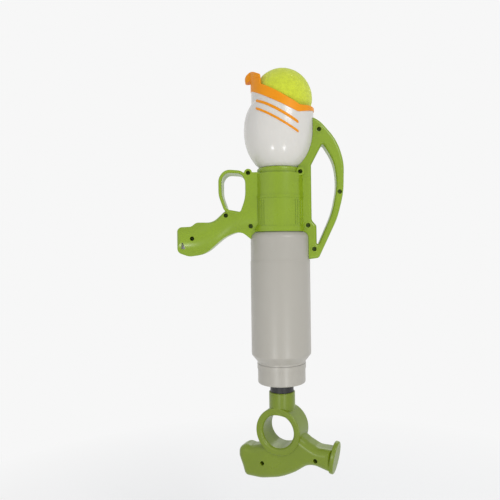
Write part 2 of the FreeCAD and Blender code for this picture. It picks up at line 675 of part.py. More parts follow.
def build_head():
    """The white head: muzzle cup, ball ledge, bulb, tail and flange in one moulding."""
    shift = size("cup_shift")
    bore = size(CUP_BORE)
    ball_clear = size("ball_radius") + size("seat_gap")
    ledge_top = size(BALL_LEVEL) - math.sqrt(ball_clear ** 2 - size("ledge_radius") ** 2)
    ledge_bottom = ledge_top - size("ledge_thickness")
    mouth_top = size(CUP_FOOT) + size("cup_height")
    flange_foot = size(STOP_LEVEL)
    flange_top = flange_foot + size("flange_thickness")
    tail_bore = size("tail_radius") - size("tail_wall")
    tail_top = size(RING_TOP)
    solid = bulb_solid(0).fuse([
        upright_cylinder(size("tail_radius"), flange_foot, tail_top),
        upright_cylinder(size("neck_radius") - size("cylinder_gap"), flange_foot, flange_top),
    ])
    solid = solid.common(mouth_block(size("lip_cap")))
    hollow = bulb_solid(-size("bulb_wall"))
    lid = Part.makeBox(200, 200, 200, Vector(-100, -100, ledge_bottom))
    solid = solid.cut(hollow.cut(lid))
    solid = solid.cut([
        upright_cylinder(bore, ledge_top, mouth_top + 1, shift),
        upright_cylinder(size("ledge_radius"), ledge_bottom - 1, mouth_top, shift),
        upright_cylinder(tail_bore, flange_top, tail_top),
        upright_cylinder(size("port_radius"), flange_foot - 1, flange_top + 1),
    ])
    return solid


def hook_solid():
    """Return the scoop hook: a flared section turned part way round the cup's axis.

    Its crest is rounded by a cylinder that lies along X. The flare is kept in the middle
    only, as a beak.
    """
    bore = size(CUP_BORE)
    skin = size(CUP_RADIUS) + size("lip_thickness")
    nose = skin + size("hook_flare")
    shift = size("cup_shift")
    rim = size(BALL_LEVEL) - size("mouth_drop") + size("mouth_slope") * size(CUP_RADIUS)
    top = rim + size("hook_height")
    section = rounded_outline([
        (shift + bore, rim - size("lip_height"), 0),
        (shift + bore, top - 6, 4),
        (shift + bore + 2.5, top, 3),
        (shift + nose - 3.6, top - 0.9, 3),
        (shift + nose, top - 5, 3),
        (shift + nose - 0.9, top - 11.6, 1),
        (shift + nose - 3, top - 11, 0.8),
        (shift + skin, top - 9.6, 1.2),
        (shift + skin, rim - size("lip_height"), 0),
    ])
    angle = size("hook_angle")
    centre = Vector(shift, 0, 0)
    face = Part.Face(section)
    face.rotate(centre, UP, 180 - angle)
    hook = face.revolve(centre, UP, 2 * angle)
    crest = size("hook_crest")
    log = Part.makeCylinder(crest, 2 * nose, Vector(shift - 2 * nose, 0, top - crest), Vector(1, 0, 0))
    beak = size("beak_radius")
    plan = upright_cylinder(skin + size("hook_wall"), 0, top + 1, shift).fuse(
        upright_cylinder(beak, 0, top + 1, shift - nose + beak))
    return hook.common(log).common(plan)


def build_lip():
    """The soft lip: a band over the cup's slanting edge with the scoop hook on one side."""
    low = size(CUP_FOOT) - size("bulb_crown")
    high = size(CUP_FOOT) + size("cup_height")
    band = bulb_solid(size("lip_thickness")).common(mouth_block(0)).cut(band_block())
    lip = band.fuse(hook_solid())
    lip = lip.cut(upright_cylinder(size(CUP_BORE), low - 1, high + 20, size("cup_shift")))
    return lip.cut(bulb_solid(0).common(mouth_block(size("lip_cap"))))


def build_stripes():
    """The two soft stripes under the lip, once in front and once behind."""
    layer = bulb_solid(size("stripe_thickness")).cut(bulb_solid(0))
    reach = size("stripe_reach")
    middle = size("cup_shift") / 2 - reach / 6
    wide = 4 * size("bulb_radius")
    span = Part.makeBox(2 * reach, wide, 4 * wide, Vector(middle - reach, -wide / 2, 0))
    slope = size("stripe_slope")
    stripes = []
    for drop, height in ((size("upper_stripe_drop"), size("upper_stripe_height")),
                         (size("lower_stripe_drop"), size("lower_stripe_height"))):
        upper = slanted_block(drop - height / 2, slope, 0.0)
        lower = slanted_block(drop + height / 2, slope, 0.0)
        stripes += layer.common(span).common(upper.cut(lower)).Solids
    return Part.makeCompound(stripes)


def finger_outline():
    """Return the egg shaped finger hole between collar and loop."""
    right = -(size(COLLAR_RADIUS) + size("plate_width"))
    left = right - size("finger_width")
    bottom = size(HOUSING_FOOT) + size("finger_rise")
    width = size("finger_width")
    height = size("finger_height")
    shares = [(0, 0.44, 0.9), (0, 0.86, 0.4), (0.2, 1.03, 0.5), (0.86, 1.0, 0.4),
              (1.02, 0.8, 0.5), (1.02, 0.36, 1.6), (0.8, -0.02, 0.09), (0.22, 0.05, 0.2)]
    return rounded_outline([
        (left + u * width, bottom + v * height, rounding * width) for u, v, rounding in shares])


def grip_outline():
    """Return the pistol grip from its butt to its root inside the collar."""
    root = -size(COLLAR_RADIUS)
    foot = size(HOUSING_FOOT)
    butt = root - size("grip_reach")
    low = foot - 21
    high = low + size("butt_height")
    return rounded_outline([
        (root + 7, foot + 21, 0),
        (root - 30.5, foot + 23, 6),
        (root - 44, foot + 10.5, 16),
        (butt + 20, foot + 10.7, 6),
        (butt + 15, high + 0.2, 6),
        (butt, high - 0.3, 5.2),
        (butt, low, 6.5),
        (butt + 12, low - 4.6, 12),
        (butt + 29, low - 2.4, 40),
        (root - 31, foot - 4.5, 40),
        (root - 15, foot + 1.3, 12),
        (root + 7, foot - 16.7, 0),
    ])


def grip_envelope(inset):
    """Return the bent round bar that domes the grip's front, less inset, with the root's web."""
    root = -size(COLLAR_RADIUS)
    foot = size(HOUSING_FOOT)
    butt = root - size("grip_reach")
    deep = size("grip_dome") - size("grip_depth")
    spine = Part.BSplineCurve()
    spine.interpolate([Vector(x, deep, z) for x, z in (
        (butt - 14, foot - 6.0), (butt + 10, foot - 7.5), (butt + 26, foot - 5.5),
        (root - 42, foot + 3.0), (root - 28, foot + 13), (root - 13, foot + 17), (root + 14, foot + 14))])
    start = spine.value(spine.FirstParameter)
    circle = Part.makeCircle(size("grip_dome") - inset, start, spine.tangent(spine.FirstParameter)[0])
    bar = Part.Wire(spine.toShape()).makePipeShell([Part.Wire(circle)], True, False)
    web = rounded_outline([
        (root - 26, foot - 60, 0),
        (root - 26, foot + 6, 12),
        (root - 12, foot + 40, 0),
        (root + 30, foot + 40, 0),
        (root + 30, foot - 60, 0),
    ])
    return bar.fuse(Part.Face(web).extrude(Vector(0, inset - size("gusset_depth"), 0)))


def plate_face():
    """Return the flat plate between the collar and the finger hole, clear of the hole's edge."""
    root = -size(COLLAR_RADIUS)
    edge = root - size("plate_width")
    foot = size(HOUSING_FOOT)
    top = size(COLLAR_TOP) + 1.2
    outline = rounded_outline([
        (root + 7, top, 0),
        (edge - 1, top, 0),
        (edge - 8, foot + 19, 0),
        (root + 7, foot + 15, 0),
    ])
    edge_of_hole = finger_outline().makeOffset2D(size("loop_round") + 0.1)
    return Part.Face(outline).cut(Part.Face(edge_of_hole)).Faces[0]


def handle_outline():
    """Return the outside of the carrying handle with its web to the bulb and tab on the barrel."""
    root = size(COLLAR_RADIUS)
    wall = size("barrel_radius")
    reach = root + size("handle_reach")
    foot = size(HOUSING_FOOT)
    crown = size(BULB_LEVEL)
    return rounded_outline([
        (root - 7, crown + 18.5, 0),
        (root + 15, crown + 12.3, 26),
        (reach - 7, crown - 10, 60),
        (reach + 0.6, crown - 34, 60),
        (reach - 0.4, foot + 40, 90),
        (reach - 7, foot + 14, 90),
        (wall + 9.2, foot - 28.6, 4),
        (wall - 4, foot - 30.3, 0),
        (root - 7, foot, 0),
    ])


def window_outline():
    """Return the window of the carrying handle."""
    left = size(COLLAR_RADIUS) + size("window_wall")
    low = size("barrel_radius") + size("window_wall")
    right = size(COLLAR_RADIUS) + size("handle_reach") - size("handle_thickness") + 0.6
    foot = size(HOUSING_FOOT)
    crown = size(BULB_LEVEL)
    return rounded_outline([
        (left, crown - 37, 4),
        (left + 12.4, crown - 13.7, 1.5),
        (right - 2.4, crown - 34, 70),
        (right, foot + 48, 70),
        (right - 5.2, foot + 20, 90),
        (low + 1.9, foot - 14, 1),
        (low, foot - 13, 1),
        (low, foot + 6, 4),
        (left, foot + 11.5, 6),
    ])


def housing_screw_places():
    """Return the nine screw places of the housing as (x, z)."""
    root = size(COLLAR_RADIUS)
    foot = size(HOUSING_FOOT)
    top = size(COLLAR_TOP)
    handle_middle = root + size("handle_reach") - size("handle_thickness") / 2
    return [
        (-root - 5.8, top + 0.7),
        (-root - 29.8, foot + 17.5),
        (-root - 3.9, foot + 6),
        (-root - size("grip_reach") + 16.5, foot - 6.5),
        (root - 4.9, top + 1.1),
        (root + 2.9, foot + 6.2),
        (root + 15.8, size(BULB_LEVEL) + 0.5),
        (handle_middle - 0.6, foot + 41.5),
        (size("barrel_radius") + 4.2, foot - 19),
    ]


def barrel_envelope(grow):
    """Return the barrel's outside at the housing grown by grow, with its rounded shoulder."""
    radius = size(BARREL_SEAT) + grow
    top = size(HOUSING_FOOT) + grow
    body = upright_cylinder(radius, -size(BARREL_END), top)
    edges = [edge for edge in body.Edges
             if abs(edge.BoundBox.ZMin - top) < 1e-6 and abs(edge.BoundBox.ZMax - top) < 1e-6]
    return body.makeFillet(size(SHOULDER_ROUND) + grow, edges)


def front_cylinder(x, z, radius, front, back):
    """Return a cylinder along Y between y=-front and y=back."""
    return Part.makeCylinder(radius, front + back, Vector(x, -front, z), BACKWARDS)


def housing_blank():
    """Return the front half of the housing with no screw holes."""
    foot = size(HOUSING_FOOT)
    top = size(COLLAR_TOP)
    root = size(COLLAR_RADIUS)
    wall = size("housing_wall")
    finger = finger_outline()
    hole = Part.Face(finger)
    loop = Part.Face(finger.makeOffset2D(size("loop_wall"))).cut(hole).Faces[0]
    window = Part.Face(window_outline())
    handle_face = Part.Face(handle_outline()).cut(window).Faces[0]
    grip_face = Part.Face(grip_outline())
    proud = size("collar_band_proud")
    band_foot = foot + size("collar_band_rise")
    ring_radius = size("tail_radius") + size("seat_gap") + size("ring_wall")
    collar = upright_cylinder(root, foot, top)
    rim = [edge for edge in collar.Edges if edge.BoundBox.ZMin > top - 1e-6]
    collar = collar.makeFillet(size("collar_round"), rim)
    ring = upright_cylinder(ring_radius, top - 1, size(RING_TOP))
    rim = [edge for edge in ring.Edges if edge.BoundBox.ZMin > size(RING_TOP) - 1e-6]
    ring = ring.makeFillet(size("ring_round"), rim)
    collar = collar.fuse([
        upright_cylinder(root + proud, foot, foot + size("collar_rim_height")),
        upright_cylinder(root + proud, band_foot, band_foot + size("collar_band_height")),
        ring,
    ])
    places = housing_screw_places()
    bosses = [front_cylinder(x, z, size("boss_radius"), size("plate_depth"), 0) for x, z in places]
    crown_boss = front_cylinder(*places[4], size("boss_radius"), size("crown_boss_depth"), 0)
    grip = slab(grip_face, size("grip_depth"), size("grip_round"), root).common(grip_envelope(0))
    outer = grip.fuse([
        slab(loop, size("loop_depth"), size("loop_round")),
        slab(plate_face(), size("plate_depth")),
        slab(handle_face, size("handle_depth"), size("handle_round"), root),
        collar.common(half_space()),
        bosses[0],
        crown_boss,
    ])
    shell_parts = []
    grip_hollow = slab(Part.Face(grip_outline().makeOffset2D(-wall)), size("grip_depth") - wall)
    keep = Part.makeBox(size("grip_reach") - 12 - 14, 100, 200,
                        Vector(-root - size("grip_reach") + 12, -100, 0))
    shell_parts.append(grip_hollow.common(keep).common(grip_envelope(wall)))
    handle_hollow = slab(handle_face.makeOffset2D(-wall), size("handle_depth") - wall)
    solid_zone = [
        upright_cylinder(root, foot - 1, top + 20),
        bulb_solid(wall + size("seat_gap")),
        barrel_envelope(wall + size("seat_gap")),
    ]
    shell_parts.append(handle_hollow.cut(solid_zone))
    body = outer.cut(shell_parts)
    body = body.fuse([boss.common(outer) for boss in bosses])
    groove_foot = foot + size("neck_groove_rise")
    rib_height = size("neck_groove_height") - 2 * size("seat_gap")
    rib_foot = groove_foot + size("seat_gap")
    rib_bore = size("neck_radius") - size("neck_groove_depth") + size("seat_gap")
    clamp_rib = upright_cylinder(root - 1, rib_foot, rib_foot + rib_height).cut(
        upright_cylinder(rib_bore, rib_foot - 1, rib_foot + rib_height + 1))
    neck_room = upright_cylinder(size(COLLAR_BORE), foot - 1, size(COLLAR_ROOF)).cut(clamp_rib)
    body = body.cut([
        neck_room,
        upright_cylinder(size("tail_radius") + size("seat_gap"), foot, size(RING_TOP) + 1),
        bulb_solid(size("seat_gap")),
        barrel_envelope(size("seat_gap")),
        hole.extrude(Vector(0, -size("grip_depth") - 1, 0)),
    ])
    body = body.cut(collar_flutes() + [lanyard_slot()])
    return body.common(half_space())


def collar_flutes():
    """Return the cutters for the two groups of upright flutes on the collar's front."""
    root = size(COLLAR_RADIUS)
    foot = size(HOUSING_FOOT) + size("collar_rim_height") + 1.5
    width = size("flute_width")
    cutters = []
    for side in (-1, 1):
        for index in range(int(size("flute_count"))):
            x = size("flute_start") + index * size("flute_spacing")
            surface = math.sqrt(root ** 2 - x ** 2)
            corner = Vector(side * x - width / 2, -surface - 4, foot)
            cutters.append(Part.makeBox(width, 4 + size("flute_depth"), size("flute_length"), corner))
    return cutters


def lanyard_slot():
    """Return the cutter for the wedge shaped lanyard slot in the butt."""
    butt = -size(COLLAR_RADIUS) - size("grip_reach")
    foot = size(HOUSING_FOOT) - 17.5
    wedge = rounded_outline([
        (butt + 4.4, foot, 0.6),
        (butt + 4.4 + size("slot_width"), foot, 0.6),
        (butt + 5.9, foot + size("slot_height"), 0.6),
    ])
    return Part.Face(wedge).extrude(Vector(0, -size("grip_depth") - 1, 0))


def screw(x, z):
    """Return one screw from the front, its head on its seat."""
    seat = size("screw_seat")
    head = front_cylinder(x, z, size("screw_head_radius"), seat + size("screw_head_height"), -seat)
    slot = Part.makeBox(2 * size("screw_head_radius"), 0.8, 0.7,
                        Vector(x - size("screw_head_radius"),
                               -seat - size("screw_head_height"), z - 0.35))
    other = Part.makeBox(0.7, 0.8, 2 * size("screw_head_radius"),
                         Vector(x - 0.35, -seat - size("screw_head_height"),
                                z - size("screw_head_radius")))
    shank = front_cylinder(x, z, size("screw_radius"), seat, size("screw_length") - seat)
    return head.cut([slot.common(screw_cross_room(x, z)), other.common(screw_cross_room(x, z))]).fuse(shank)


def screw_cross_room(x, z):
    """Return the round zone of a screw head that the cross recess stays in."""
    return front_cylinder(x, z, size("screw_head_radius") * 0.7,
                          size("screw_seat") + size("screw_head_height"), 0)


def front_screw_holes(places):
    """Return the cutters for the recesses and clearance holes in a front half."""
    cutters = []
    for x, z in places:
        cutters.append(front_cylinder(x, z, size("screw_recess"), 40, -size("screw_seat")))
        cutters.append(front_cylinder(x, z, size("screw_radius") + 0.2, size("screw_seat"), 1))
    return cutters


def back_screw_holes(places):
    """Return the cutters for the thread holes in a back half."""
    depth = size("screw_length") - size("screw_seat") + 0.5
    return [front_cylinder(x, z, size("screw_radius"), 1, depth) for x, z in places]


def tee_bar_outline():
    """Return the cross bar of the pump handle, in the handle's own plane."""
    left = -size("tee_left")
    right = size("tee_right")
    level = size(TEE_TOP) - size("tee_ring_drop")
    ring = size("tee_ring_outer")
    return rounded_outline([
        (ring * 0.2, level, 0),
        (-ring * 0.68, level - ring * 0.66, 0),
        (left + 15, level - 21.6, 7),
        (left + 8, level - 20, 8),
        (left, level - 24.5, 7),
        (left - 0.2, level - 33, 9),
        (left + 4, level - 43.5, 12),
        (left + 7.2, level - 54.2, 5.6),
        (-22, level - 54.8, 40),
        (0, level - 50.5, 60),
        (16, level - 43, 60),
        (30, level - 33.2, 18),
        (right - 21.5, level - 32, 18),
        (right - 3, level - 37.2, 0),
        (right - 3, level - 13.4, 0),
        (right - 11, level - 13.2, 9),
        (right - 18.5, level - 13.2, 14),
        (31, level - 7.8, 14),
        (ring * 0.8, level, 0),
    ])


def tee_flange():
    """Return the end flange of the short wing: an upright oval disc that leans outwards."""
    middle = Vector(size("tee_right") - size("tee_flange_width"), 0,
                    size(TEE_TOP) - size("tee_ring_drop") - size("tee_flange_drop"))
    tall = middle + Vector(0, 0, size("tee_flange_height") / 2)
    deep = middle + Vector(0, size("tee_flange_depth"), 0)
    outline = Part.Ellipse(tall, deep, middle).toShape()
    disc = Part.Face(Part.Wire(outline)).extrude(Vector(size("tee_flange_width"), 0, 0))
    disc = disc.makeFillet(size("tee_flange_width") * 0.3, disc.Edges)
    disc.rotate(middle, BACKWARDS, size("tee_flange_lean"))
    return disc.common(half_space())


def tee_screw_places():
    """Return the two screw places of the pump handle as (x, z) in its own plane."""
    level = size(TEE_TOP) - size("tee_ring_drop")
    return [(-19.2, level - 36.5), (size("tee_right") - 19.4, level - 25.4)]


def tee_blank():
    """Return the front half of the pump handle, in its own plane, with no screw holes."""
    top = size(TEE_TOP)
    level = top - size("tee_ring_drop")
    wall = size("tee_wall")
    ring_face = Part.Face(Part.Wire(Part.makeCircle(size("tee_ring_outer"), place(0, level), BACKWARDS)))
    bore_face = Part.Face(Part.Wire(Part.makeCircle(size("tee_ring_bore"), place(0, level), BACKWARDS)))
    ring = slab(ring_face, size("tee_ring_depth"), size("tee_ring_round")).cut(slab(bore_face, 40))
    mouth = [edge for edge in ring.Edges
             if abs(edge.BoundBox.YMax + size("tee_ring_depth")) < 1e-6
             and edge.BoundBox.XMax < size("tee_ring_bore") + 1e-3]
    ring = ring.makeFillet(size("tee_bore_round"), mouth)
    stem = upright_cylinder(size("tee_stem_radius"), level, top)
    stem = stem.makeFillet(1, [edge for edge in stem.Edges if edge.BoundBox.ZMin > top - 1e-6])
    bar = slab(Part.Face(tee_bar_outline()), size("tee_bar_depth"), size("tee_bar_round"))
    outer = ring.fuse([stem.common(half_space()), bar, tee_flange()])
    hollow = slab(Part.Face(tee_bar_outline().makeOffset2D(-wall)), size("tee_bar_depth") - wall)
    ring_zone = front_cylinder(0, level, size("tee_ring_outer"), 40, 0)
    body = outer.cut(hollow.cut(ring_zone))
    bosses = [front_cylinder(x, z, size("boss_radius"), size("tee_bar_depth"), 0)
              for x, z in tee_screw_places()]
    body = body.fuse([boss.common(outer) for boss in bosses])
    socket = upright_cylinder(size("rod_radius") + size("running_gap"),
                              top - size("tee_socket"), top + 1)
    body = body.cut([
        front_cylinder(0, level, size("tee_ring_bore"), 40, 1),
        socket,
    ])
    peg_tip = size(ROD_BORE)
    peg = front_cylinder(0, top - size("peg_drop"), size("peg_radius"),
                         size("tee_stem_radius") - 0.5, -peg_tip)
    return body.fuse(peg).common(half_space())


def add_feature(name, shape, turn=0.0):
    """Add a piece with a free shape to the document, turned about the axis by turn degrees."""
    piece = doc.addObject("Part::Feature", name)
    piece.Shape = shape
    piece.Placement = FreeCAD.Placement(ORIGIN, FreeCAD.Rotation(UP, turn))
    return piece


def single_solid(shape):
    """Return the one solid that a moulded piece is made of."""
    return max(shape.Solids, key=lambda solid: solid.Volume)


def build_moulded_pieces():
    """Build the head, the lip, the housing halves and the pump handle's halves."""
    housing_screws = housing_screw_places()
    housing = housing_blank()
    front = single_solid(housing.cut(front_screw_holes(housing_screws)))
    holes = [mirrored(hole) for hole in back_screw_holes(housing_screws)]
    back = mirrored(single_solid(housing.cut(holes)))
    tee_screws = tee_screw_places()
    tee = tee_blank()
    tee_front = single_solid(tee.cut(front_screw_holes(tee_screws))).removeSplitter()
    tee_back = single_solid(mirrored(tee).cut(back_screw_holes(tee_screws))).removeSplitter()
    turn = -size("tee_turn")
    return [
        add_feature("head_cup", single_solid(build_head()).removeSplitter()),
        add_feature("muzzle_lip", single_solid(build_lip()).removeSplitter()),
        add_feature("head_stripes", build_stripes()),
        add_feature("housing_front", front),
        add_feature("housing_back", back),
        add_feature("housing_screws", Part.makeCompound([screw(x, z) for x, z in housing_screws])),
        add_feature("pump_handle_front", tee_front, turn),
        add_feature("pump_handle_back", tee_back, turn),
        add_feature("pump_handle_screws", Part.makeCompound([screw(x, z) for x, z in tee_screws]),
                    turn),
    ]


def check_document():
    """Stop if any object of the document failed."""
    for item in doc.Objects:
        if any(state in ("Invalid", "Error") for state in item.State):
            raise ValueError(f"{item.Label} failed: {item.State}")


def check_piece(piece):
    """Stop if a piece has no shape or a broken one."""
    shape = piece.Shape
    if shape.isNull() or not shape.isValid() or not shape.Solids:
        raise ValueError(f"{piece.Label} has no valid solid")


pieces = (build_ball() + build_barrel() + build_end_cap() + build_rod_bush()
          + build_pump_cylinder() + build_piston() + build_rod() + build_moulded_pieces())
doc.recompute()
check_document()
os.makedirs("parts", exist_ok=True)
for piece in pieces:
    check_piece(piece)
for piece in pieces:
    piece.Shape.exportStep(f"parts/{piece.Label}.step")
    print(piece.Label, len(piece.Shape.Solids), round(piece.Shape.Volume / 1000, 2), "cm3")
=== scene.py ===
"""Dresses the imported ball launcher.

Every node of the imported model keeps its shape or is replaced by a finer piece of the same
place, and each gets a procedural finish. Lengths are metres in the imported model's own frame:
+Z to the muzzle, +X to the carrying handle, -Y to the side that the screws go in from.
"""
import logging
import math
from collections.abc import Mapping
from dataclasses import dataclass, field
from enum import Enum

import bpy
import numpy as np
from mathutils import Matrix, Vector


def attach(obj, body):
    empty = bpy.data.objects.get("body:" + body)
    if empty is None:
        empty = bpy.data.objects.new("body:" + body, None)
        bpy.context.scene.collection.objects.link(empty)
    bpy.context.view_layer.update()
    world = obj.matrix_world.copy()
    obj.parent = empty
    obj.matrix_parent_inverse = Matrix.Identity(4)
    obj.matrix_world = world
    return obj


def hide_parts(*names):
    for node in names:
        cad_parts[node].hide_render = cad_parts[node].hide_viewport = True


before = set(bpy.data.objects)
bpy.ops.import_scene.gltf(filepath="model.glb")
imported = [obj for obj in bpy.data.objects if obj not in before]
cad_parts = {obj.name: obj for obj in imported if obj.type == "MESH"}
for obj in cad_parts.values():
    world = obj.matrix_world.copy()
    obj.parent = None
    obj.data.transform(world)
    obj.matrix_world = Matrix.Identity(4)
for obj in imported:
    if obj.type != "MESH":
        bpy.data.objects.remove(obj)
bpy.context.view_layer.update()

LOG = logging.getLogger("launcher")
MM = 0.001
TURN = 2 * math.pi

Node = bpy.types.Node
Piece = bpy.types.Object
Socket = bpy.types.NodeSocket
Sockets = Mapping[str, Socket]
Ports = dict[str, Socket | float | tuple]
Points = np.ndarray
Triple = tuple[float, float, float]
Faces = list[tuple[int, ...]]


class Body(Enum):
    """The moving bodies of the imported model."""

    LAUNCHER = "launcher"
    PISTON = "piston_unit"
    HANDLE = "pump_handle"
    BALL = "ball"


class Slot(Enum):
    """The record's material slot names."""

    FELT = "felt"
    RUBBER = "ball_rubber"
    ORANGE = "soft_orange"
    WHITE = "white_shell"
    GREEN = "green_shell"


class Ends(Enum):
    """How the first and last row of a surface grid are finished."""

    FANS = "fans"
    RING = "ring"


# Meshes


def grid_faces(rows: int, columns: int, ends: Ends) -> Faces:
    """Connect a grid of points whose columns run round and close.

    Args:
        rows: Number of rows of points.
        columns: Number of points in each row, the last joined to the first.
        ends: RING joins the last row to the first, and FANS closes the two ends on one extra
            point each, which come after the grid's own points.

    Returns:
        The faces as tuples of point numbers.
    """
    number = np.arange(rows * columns).reshape(rows, columns)
    if ends is Ends.RING:
        number = np.vstack([number, number[:1]])
    here, above = number[:-1], number[1:]
    quads = np.stack([here, np.roll(here, -1, 1), np.roll(above, -1, 1), above], -1)
    faces = [tuple(quad) for quad in quads.reshape(-1, 4).tolist()]
    if ends is Ends.FANS:
        first, last = rows * columns, rows * columns + 1
        low, high = number[0], number[-1]
        floor = np.stack([np.full(columns, first), np.roll(low, -1), low], -1)
        roof = np.stack([np.full(columns, last), high, np.roll(high, -1)], -1)
        faces += [tuple(face) for face in np.vstack([floor, roof]).tolist()]
    return faces


def enclosed_volume(points: Points, faces: Faces) -> float:
    """Return the volume inside a closed mesh, negative where its faces point inwards."""
    corners = np.array([face[:3] for face in faces]
                       + [(face[0], face[2], face[3]) for face in faces if len(face) == 4])
    first, second, third = (points[corners[:, index]] for index in range(3))
    return float(np.einsum("ij,ij->i", first, np.cross(second, third)).sum() / 6)


def build_piece(name: str, points: Points, faces: Faces) -> Piece:
    """Make a smooth mesh object at the origin with its faces pointing outwards.

    Args:
        name: The piece's name.
        points: Its points, one row of three numbers each.
        faces: Its faces as tuples of point numbers.

    Returns:
        The new object, linked to the scene.
    """
    if enclosed_volume(points, faces) < 0:
        faces = [face[::-1] for face in faces]
    mesh = bpy.data.meshes.new(name)
    mesh.from_pydata(points.tolist(), [], faces)
    mesh.polygons.foreach_set("use_smooth", np.full(len(mesh.polygons), True))
    mesh.update()
    piece = bpy.data.objects.new(name, mesh)
    bpy.context.scene.collection.objects.link(piece)
    return piece


def grid_piece(name: str, grid: Points, ends: Ends = Ends.RING,
               tips: tuple[Points, Points] | None = None) -> Piece:
    """Make a piece from a grid of points whose columns run round.

    Args:
        name: The piece's name.
        grid: Points of shape (rows, columns, 3).
        ends: How the first and last rows are finished.
        tips: The end points for FANS, or None for the middles of the end rows.

    Returns:
        The new object.
    """
    rows, columns, _ = grid.shape
    points = grid.reshape(-1, 3)
    if ends is Ends.FANS:
        points = np.vstack([points, *(tips or (grid[0].mean(0), grid[-1].mean(0)))])
    return build_piece(name, points, grid_faces(rows, columns, ends))


def round_angles(count: int) -> Points:
    """Return this many angles, evenly round a full turn."""
    return np.arange(count) / count * TURN


def unit(vectors: Points) -> Points:
    """Return the vectors with length one."""
    return vectors / np.linalg.norm(vectors, axis=-1, keepdims=True)


def smooth_step(value: Points, low: float, high: float) -> Points:
    """Return 0 below low, 1 above high, and the cubic 3t^2 - 2t^3 between."""
    share = np.clip((value - low) / (high - low), 0, 1)
    return share * share * (3 - 2 * share)


def ridge(name: str, path: Points, out: Points, height: float) -> Piece:
    """Build a mould's parting line: a fine hump, its foot sunk in the wall, along a path.

    Args:
        name: The piece's name.
        path: Points of the wall in the middle plane, one row each.
        out: The wall's outward direction, for each of them or one for all.
        height: How far the hump stands out.

    Returns:
        The new object.
    """
    foot, shoulder, sink = 0.00045, 0.00025, 0.0002
    section = np.array([(-foot, -sink), (-shoulder, height * 0.6), (0.0, height),
                        (shoulder, height * 0.6), (foot, -sink)])
    across = np.array([0.0, 1.0, 0.0]) * section[:, :1]
    grid = path[:, None] + across + out[..., None, :] * section[:, 1:]
    return grid_piece(name, grid, Ends.FANS)


def soft_corners(corners: Points, reach: Points, steps: int = 4) -> Points:
    """Round the corners of closed outlines.

    Each corner becomes points of a quadratic Bezier curve: it starts on the side before the
    corner, ends on the side after it and has the corner as its control point.

    Args:
        corners: Outlines of shape (outlines, corners, 2).
        reach: How much each corner takes of the sides next to it, at most nearly half of each.
        steps: Number of points that a corner becomes.

    Returns:
        Points of shape (outlines, corners * steps, 2).
    """
    sides = [np.roll(corners, way, 1) - corners for way in (1, -1)]
    start, end = [corners + side * np.minimum(
        reach / np.maximum(np.linalg.norm(side, axis=-1), 1e-9), 0.48)[..., None] for side in sides]
    t = np.linspace(0, 1, steps)[:, None]
    curve = (start[:, :, None] * (1 - t) ** 2 + 2 * corners[:, :, None] * t * (1 - t)
             + end[:, :, None] * t ** 2)
    return curve.reshape(len(corners), -1, 2)


# Shader groups


class Bench:
    """Adds and wires the nodes of one node tree."""

    def __init__(self, tree: bpy.types.NodeTree) -> None:
        """Work on this tree."""
        self.tree = tree

    def add(self, kind: str, **settings: object) -> Node:
        """Add a node and set its attributes.

        Args:
            kind: The node's type name.
            settings: Attributes of the node, by name.

        Returns:
            The node.
        """
        node = self.tree.nodes.new(kind)
        for name, value in settings.items():
            setattr(node, name, value)
        return node

    def feed(self, target: Socket, value: Socket | float | tuple) -> None:
        """Link a socket to target, or set target's own value."""
        if isinstance(value, bpy.types.NodeSocket):
            self.tree.links.new(value, target)
        else:
            target.default_value = value

    def supply(self, node: Node, **values: Socket | float | tuple) -> Node:
        """Feed a node's inputs.

        Args:
            node: The node.
            values: Sockets or values by input name, with _ for a space.

        Returns:
            The node.
        """
        for name, value in values.items():
            self.feed(node.inputs[name.replace("_", " ")], value)
        return node

    def math(self, operation: str, first: Socket | float, second: Socket | float) -> Socket:
        """Return the result of a math node."""
        node = self.add("ShaderNodeMath", operation=operation)
        self.feed(node.inputs[0], first)
        self.feed(node.inputs[1], second)
        return node.outputs[0]

    def scaled(self, value: Socket, share: float) -> Socket:
        """Return value times share."""
        return self.math("MULTIPLY", value, share)

    def noise(self, place: Socket, scale: Socket | float, detail: float = 2.0,
              roughness: float = 0.5) -> Socket:
        """Return a noise value between 0 and 1 at place."""
        node = self.add("ShaderNodeTexNoise")
        self.supply(node, Vector=place, Scale=scale, Detail=detail, Roughness=roughness)
        return node.outputs["Fac"]

    def remap(self, value: Socket, low: float, high: float, first: float = 0.0,
              last: float = 1.0) -> Socket:
        """Return value stretched so that low..high becomes first..last, and held there."""
        node = self.add("ShaderNodeMapRange", clamp=True)
        for index, number in enumerate((value, low, high, first, last)):
            self.feed(node.inputs[index], number)
        return node.outputs[0]

    def stretch(self, place: Socket, scale: Triple) -> Socket:
        """Return place scaled along each axis."""
        node = self.supply(self.add("ShaderNodeMapping"), Vector=place, Scale=scale)
        return node.outputs["Vector"]

    def blend(self, share: Socket, first: tuple | Socket, second: tuple | Socket) -> Socket:
        """Return the colour between first and second."""
        node = self.add("ShaderNodeMix", data_type="RGBA")
        for index, value in ((0, share), (6, first), (7, second)):
            self.feed(node.inputs[index], value)
        return node.outputs[2]

    def emission(self, kind: str, colour: Triple, strength: float) -> Socket:
        """Return the shader of a background or emission node."""
        node = self.supply(self.add(kind), Color=opaque(colour), Strength=strength)
        return node.outputs[0]

    def mixed(self, share: Socket, first: Socket, second: Socket) -> Socket:
        """Return the shader between first and second."""
        node = self.add("ShaderNodeMixShader")
        for index, value in enumerate((share, first, second)):
            self.feed(node.inputs[index], value)
        return node.outputs[0]


